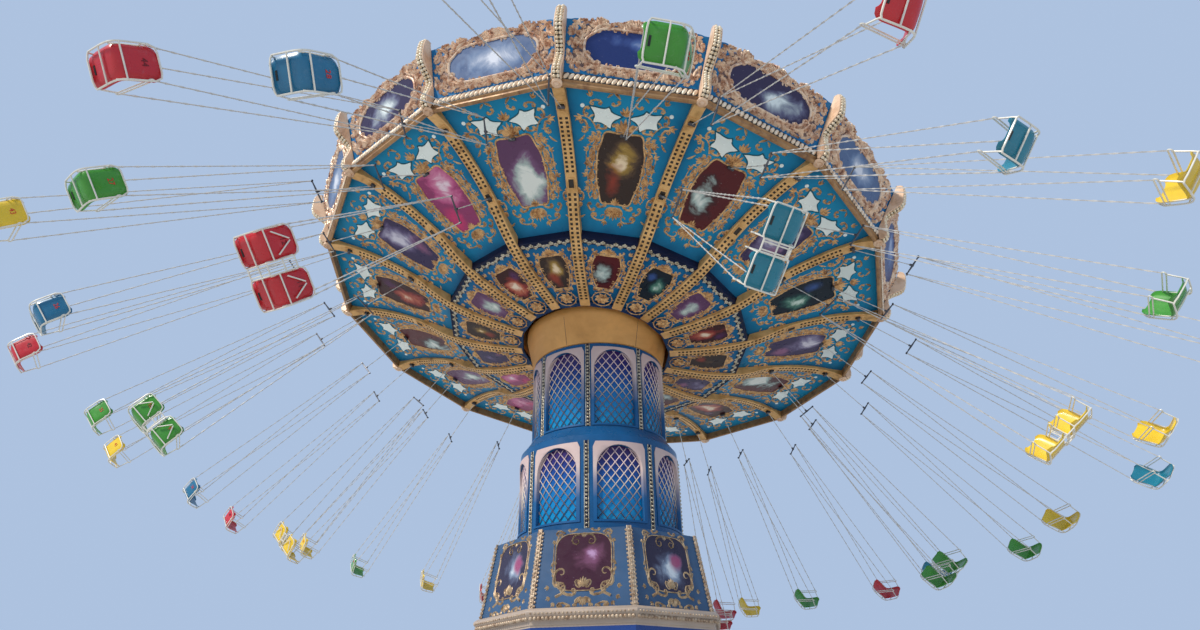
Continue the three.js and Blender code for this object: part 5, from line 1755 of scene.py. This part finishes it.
def make_storey_lattice():
    """Crossing bars in a border on each wall of the lower storey."""
    place, _, half, _ = leaning_face(WALL_R, 0.0, WALL_R, 3.0, BASE_SIDES)
    low, high, reach = FLOOR_H + 0.16, LINTEL_LOW - 0.10, half - 0.13
    strokes = []
    for k in range(-9, 10):
        for sign in (-1, 1):
            start = np.array([k * 0.19, low])
            s = np.linspace(0, 3.2, 60)
            line = start + s[:, None] * np.array([sign * 0.62, 0.785])
            where = np.flatnonzero((np.abs(line[:, 0]) <= reach) & (line[:, 1] <= high))
            if len(where) > 2:
                ends = line[[where[0], where[-1]]]
                strokes.append((np.array([ends[0], ends.mean(0), ends[1]]), np.full(3, 0.018)))
    border = np.array([(-reach, low), (reach, low), (reach, high), (-reach, high)])
    trim = relief(strokes, place, 1.0)
    trim.join(band(stepped_outline(border, 7), 0.05, place, 0.022))
    piece("storey_lattice", trim.copies(BASE_FACES), [SILVER_GOLD], "base", slot="gold")


# Swings

def seat_profile():
    """The middle line of a seat shell from its front edge to the top of its back, as y and z."""
    return smooth_path([
        (SEAT_FRONT + 0.005, -0.026), (SEAT_FRONT + 0.026, -0.008), (SEAT_FRONT + 0.08, -0.010),
        (0.0, -0.017), (0.09, -0.015), (SEAT_BACK - 0.032, 0.004), (SEAT_BACK - 0.002, 0.045),
        (SEAT_BACK + 0.020, 0.12), (SEAT_BACK + 0.048, 0.225), (SEAT_BACK + 0.072, 0.315),
        (SEAT_BACK + BACK_LEAN + 0.008, BACK_H - 0.004)], 2)


def seat_shell(x0):
    """A moulded bucket: pan and back in one sheet, with turned-up sides and round corners."""
    path = seat_profile()
    normal = left_of(path)
    lengths = lengths_along(path)
    cols = 13
    ts = np.linspace(-1, 1, cols)
    lift = 0.030 * np.abs(ts) ** 6 + 0.006 * ts ** 2
    rows = []
    for (y, z), n, s in zip(path, normal, lengths):
        end = min(s, lengths[-1] - s)
        inset = max(0.0, SEAT_CORNER ** 2 - (SEAT_CORNER - end) ** 2)
        tuck = 0.0 if end > SEAT_CORNER else SEAT_CORNER - math.sqrt(inset)
        width = SEAT_W / 2 - 0.012 - tuck
        rows.append(np.stack([x0 + ts * width, y + n[0] * lift, z + n[1] * lift], -1))
    top = np.array(rows).reshape(-1, 3)
    shift = np.stack([np.zeros(len(path)), -normal[:, 0] * SEAT_T, -normal[:, 1] * SEAT_T], -1)
    return sheet(top, top + np.repeat(shift, cols, 0), len(path), cols)


def seat_frame(x0, paint):
    """The white tube that runs round the shell, and its cross straps."""
    path = seat_profile()
    line = path + left_of(path) * -0.022
    half = SEAT_W / 2 - 0.008

    def bow(places):
        return [(x0 + x, *line[k]) for x, k in places]

    right = [(x0 + half, y, z) for y, z in line[3:-3]]
    top = bow([(half - 0.03, -2), (half - 0.08, -1), (-half + 0.08, -1), (-half + 0.03, -2)])
    left = [(x0 - half, y, z) for y, z in line[3:-3][::-1]]
    front = bow([(-half + 0.03, 1), (-half + 0.08, 0), (half - 0.08, 0), (half - 0.03, 1)])
    made = tube(right + top + left + front, 0.010, 5, True, paint)
    for share in (0.30, 0.62):
        y, z = line[int(share * (len(line) - 1))]
        made.join(tube([(x0 - half, y, z - 0.004), (x0 + half, y, z - 0.004)], 0.009, 6, False, paint))
    return made


def arm(x0, side, paint):
    """Two rails joined by round ends, on two legs. The rails rise to the rear."""
    x = x0 + side * (SEAT_W / 2 - ARM_IN)
    front, rear, rear_h = SEAT_FRONT + 0.01, SEAT_BACK + 0.06, ARM_H + ARM_RISE
    loop = []
    for y, z, first in ((front, ARM_H, 90), (rear, rear_h, 270)):
        for a in np.radians(np.linspace(first, first + 180, 6)):
            loop.append((x, y + ARM_END_R * math.cos(a), z - ARM_END_R + ARM_END_R * math.sin(a)))
    made = tube(loop, 0.0085, 5, True, paint)
    legs = (
        [(front + 0.012, ARM_H - 0.03), (front + 0.022, 0.02), (front + 0.03, -0.024)],
        [(rear - 0.03, rear_h - 0.03), (SEAT_BACK - 0.03, 0.05), (SEAT_BACK - 0.06, -0.024)],
    )
    for leg in legs:
        made.join(tube([(x, y, z) for y, z in leg], 0.0095, 5, False, paint))
    return made


def chain(a, b, paint):
    """A chain as links turned a quarter to each other."""
    a, b = np.asarray(a, float), np.asarray(b, float)
    along = b - a
    length = np.linalg.norm(along)
    along /= length
    side = np.cross(along, (0.0, 1.0, 0.0))
    side /= np.linalg.norm(side)
    other = np.cross(along, side)
    count = int(length / LINK_PITCH)
    step = length / count
    wide, thin = 0.0125, 0.0072
    verts, faces = [], []
    for k in range(count):
        u, v = (side, other) if k % 2 == 0 else (other, side)
        start = a + along * (k * step - 0.006)
        end = a + along * ((k + 1) * step + 0.006)
        base = len(verts)
        for at, w in ((start, 0.5), ((start + end) / 2, 1.0), (end, 0.5)):
            verts += [at + u * wide * w, at + v * thin, at - u * wide * w, at - v * thin]
        block = grid_faces(3, 4, False, True) + base
        faces += list(block)
    return Shape().add(verts, faces, paint)


def hanger(kind):
    at, half = SPREADER_AT, kind["spreader_half"]
    made = tube([(0, -0.058, 0), (0, 0.058, 0)], 0.028, 10, False, STEEL_PAINT)
    made.join(chain((0, 0, -0.02), (0, 0, -at + 0.02), CHAIN_PAINT))
    made.join(tube([(0, 0, -0.012), (0, 0, -at + 0.005)], 0.0065, 5, False, CHAIN_PAINT))
    spreader = [(x, 0, -at) for x in (-half, -half * 0.5, 0, half * 0.5, half)]
    made.join(tube(spreader, [0.011, 0.013, 0.018, 0.013, 0.011], 8, False, STEEL_PAINT))
    for x in (-half, half):
        made.join(tube([(x, -0.02, -at), (x, 0.02, -at)], 0.017, 8, False, STEEL_PAINT))
    made.join(tube([(0, 0, -at - 0.016), (0, 0, -at + 0.05)], 0.02, 8, False, STEEL_PAINT))
    return made


def swing_shape(kind):
    length, at, half = kind["length"], SPREADER_AT, kind["spreader_half"]
    made = Shape()
    seats = kind["seats"]
    drop = Matrix.Translation((0, 0, -length))
    low = Shape()
    for x0 in seats:
        low.join(seat_shell(x0), seat_frame(x0, FRAME_PAINT))
        low.join(arm(x0, -1, FRAME_PAINT), arm(x0, 1, FRAME_PAINT))
        slit = ((x0 - 0.045, SEAT_FRONT + 0.050, -0.0225), (x0 + 0.045, SEAT_FRONT + 0.072, -0.010))
        low.join(box(*slit, SLIT_PAINT))
    if len(seats) == 2:
        low.join(double_frame(seats))
    outer = seats[-1] + SEAT_W / 2 - ARM_IN
    front, rear = SEAT_FRONT + 0.01, SEAT_BACK + 0.06
    made.join(hanger(kind), low.copies([drop]))
    for side in (-1, 1):
        top = (side * half, 0, -at - 0.012)
        made.join(chain(top, (side * outer, front, -length + ARM_H), CHAIN_PAINT))
        made.join(chain(top, (side * outer, rear, -length + ARM_H + ARM_RISE), CHAIN_PAINT))
    return made


def double_frame(seats):
    """The ladder of tubes between the two seats of a double, and the braces on their backs."""
    made = Shape()
    inner = seats[1] - SEAT_W / 2 + 0.008
    rungs = ((SEAT_FRONT + 0.05, -0.032), (0.0, -0.036), (SEAT_BACK - 0.05, -0.027), (SEAT_BACK + 0.04, 0.12),
             (SEAT_BACK + 0.08, 0.26))
    for y, z in rungs:
        made.join(tube([(-inner, y, z), (inner, y, z)], 0.0095, 6, False, FRAME_PAINT))
    for x in (-0.040, 0.040):
        made.join(tube([(x, y, z) for y, z in rungs], 0.0085, 6, False, FRAME_PAINT))
    for x0 in seats:
        for side in (-1, 1):
            low = (x0 + side * 0.13, SEAT_BACK + 0.048, 0.10)
            high = (x0 + side * 0.01, SEAT_BACK + 0.096, 0.27)
            made.join(tube([low, high], 0.0085, 6, False, FRAME_PAINT))
    return made


def number_shape(text, x0, length):
    """Plain figures on the back of a seat."""
    curve = bpy.data.curves.new("figures", "FONT")
    curve.body = text
    curve.size = 0.085
    curve.align_x = "CENTER"
    curve.align_y = "CENTER"
    curve.extrude = 0.0015
    curve.resolution_u = 2
    helper = bpy.data.objects.new("figures", curve)
    bpy.context.scene.collection.objects.link(helper)
    graph = bpy.context.evaluated_depsgraph_get()
    mesh = helper.evaluated_get(graph).to_mesh()
    verts = np.array([v.co for v in mesh.vertices])
    faces = [np.array(p.vertices) for p in mesh.polygons]
    helper.evaluated_get(graph).to_mesh_clear()
    bpy.data.objects.remove(helper)
    bpy.data.curves.remove(curve)
    up = np.array([0.0, 0.052, 0.195])
    up /= np.linalg.norm(up)
    back = np.array([0.0, up[2], -up[1]])
    at = axes((x0, SEAT_BACK + 0.0575, -length + 0.215), (-1, 0, 0), up, back)
    return Shape().add(verts, faces, NUMBER_PAINT).copies([at])


def swing_matrix(name, lead_angle, ratios):
    """The swing's frame at rest, from its hinge and the angle by which it hangs out."""
    joint = joints[f"{name}_hinge"]
    angle = lead_angle * ratios.get(joint["name"], 1.0)
    axis = Vector(joint["axis"]).normalized()
    up = Matrix.Rotation(angle, 3, axis) @ spin_axis
    side = -axis
    return axes(joint["pos_m"], side.cross(up), side, up)


def make_swings():
    couplings = frame["record"]["behaviour"]["couplings"]
    ratios = {coupling["joint"]: coupling["ratio"] for coupling in couplings}
    swings = sorted(name for name in frame["bodies"] if name.startswith("swing_"))
    lead = next(name for name in swings if f"{name}_hinge" not in ratios)
    lead_angle = -math.radians(joints[f"{lead}_hinge"]["range_deg"][0])
    slots = {row["node"]: row["material_slot"] for row in frame["record"]["subparts"]}
    shapes = {"single": swing_shape(SINGLE), "double": swing_shape(DOUBLE)}
    number = 0
    for name in swings:
        kind = "double" if "double" in name else "single"
        facts = DOUBLE if kind == "double" else SINGLE
        shape = Shape().join(shapes[kind])
        for x0 in facts["seats"]:
            number += 1
            shape.join(number_shape(str(number), x0, facts["length"]))
        color = slots[name]
        ink = NUMBER_DARK if color == "red" else NUMBER_RED
        paints = [SEAT_PAINT[color], TUBE_WHITE, CHAIN, STEEL, ink, SLIT]
        place = swing_matrix(name, lead_angle, ratios)
        piece(name.replace("swing", "chair"), shape, paints, name, [name], place, color, 40.0)


def finish_frame_nodes():
    """Paint for the frame's own pieces that stay in view."""
    for node, paint in (("tilt_hub", STEEL), ("canopy_hub", OCHRE)):
        made = frame["nodes"][node]
        made.data.materials.clear()
        made.data.materials.append(paint)


# Floor, light and camera

def make_stage():
    floor_mesh = bpy.data.meshes.new("floor")
    size = FLOOR_HALF
    corners = [(-size, -size, 0), (size, -size, 0), (size, size, 0), (-size, size, 0)]
    floor_mesh.from_pydata(corners, [], [(0, 1, 2, 3)])
    floor = bpy.data.objects.new("floor", floor_mesh)
    bpy.context.scene.collection.objects.link(floor)
    paint = Paint("floor_paint")
    paint.set(base_color=FLOOR_COLOR, roughness=0.85)
    floor_mesh.materials.append(paint.material)

    world = bpy.data.worlds.new("studio")
    bpy.context.scene.world = world
    world.use_nodes = True
    background = world.node_tree.nodes["Background"]
    background.inputs["Color"].default_value = SKY_COLOR
    background.inputs["Strength"].default_value = 1.0

    sun = bpy.data.lights.new("key", "SUN")
    sun.energy = SUN_STRENGTH
    sun.angle = math.radians(SUN_SPREAD)
    sun.color = SUN_COLOR
    lamp = bpy.data.objects.new("key", sun)
    lamp.rotation_euler = SUN_TOWARDS.to_track_quat("-Z", "Y").to_euler()
    bpy.context.scene.collection.objects.link(lamp)


def make_camera():
    data = bpy.data.cameras.new("photo_camera")
    data.sensor_width = SENSOR_W
    data.lens = SENSOR_W * FOCAL_SHARE
    camera = bpy.data.objects.new("photo_camera", data)
    camera.matrix_world = axes(CAMERA_AT, CAMERA_RIGHT, CAMERA_UP, CAMERA_RIGHT.cross(CAMERA_UP))
    bpy.context.scene.collection.objects.link(camera)
    bpy.context.scene.camera = camera


bpy.context.scene.view_settings.view_transform = "Standard"
bpy.context.scene.view_settings.look = "None"
make_camera()
make_stage()
make_ceilings()
make_ceiling_frames()
make_ceiling_pictures()
make_mirrors()
make_mid_band()
make_ribs()
make_brackets()
make_rim()
make_crown_boards()
make_crown_ornament()
make_roof()
make_tower()
make_collar()
make_base()
make_swings()
finish_frame_nodes()
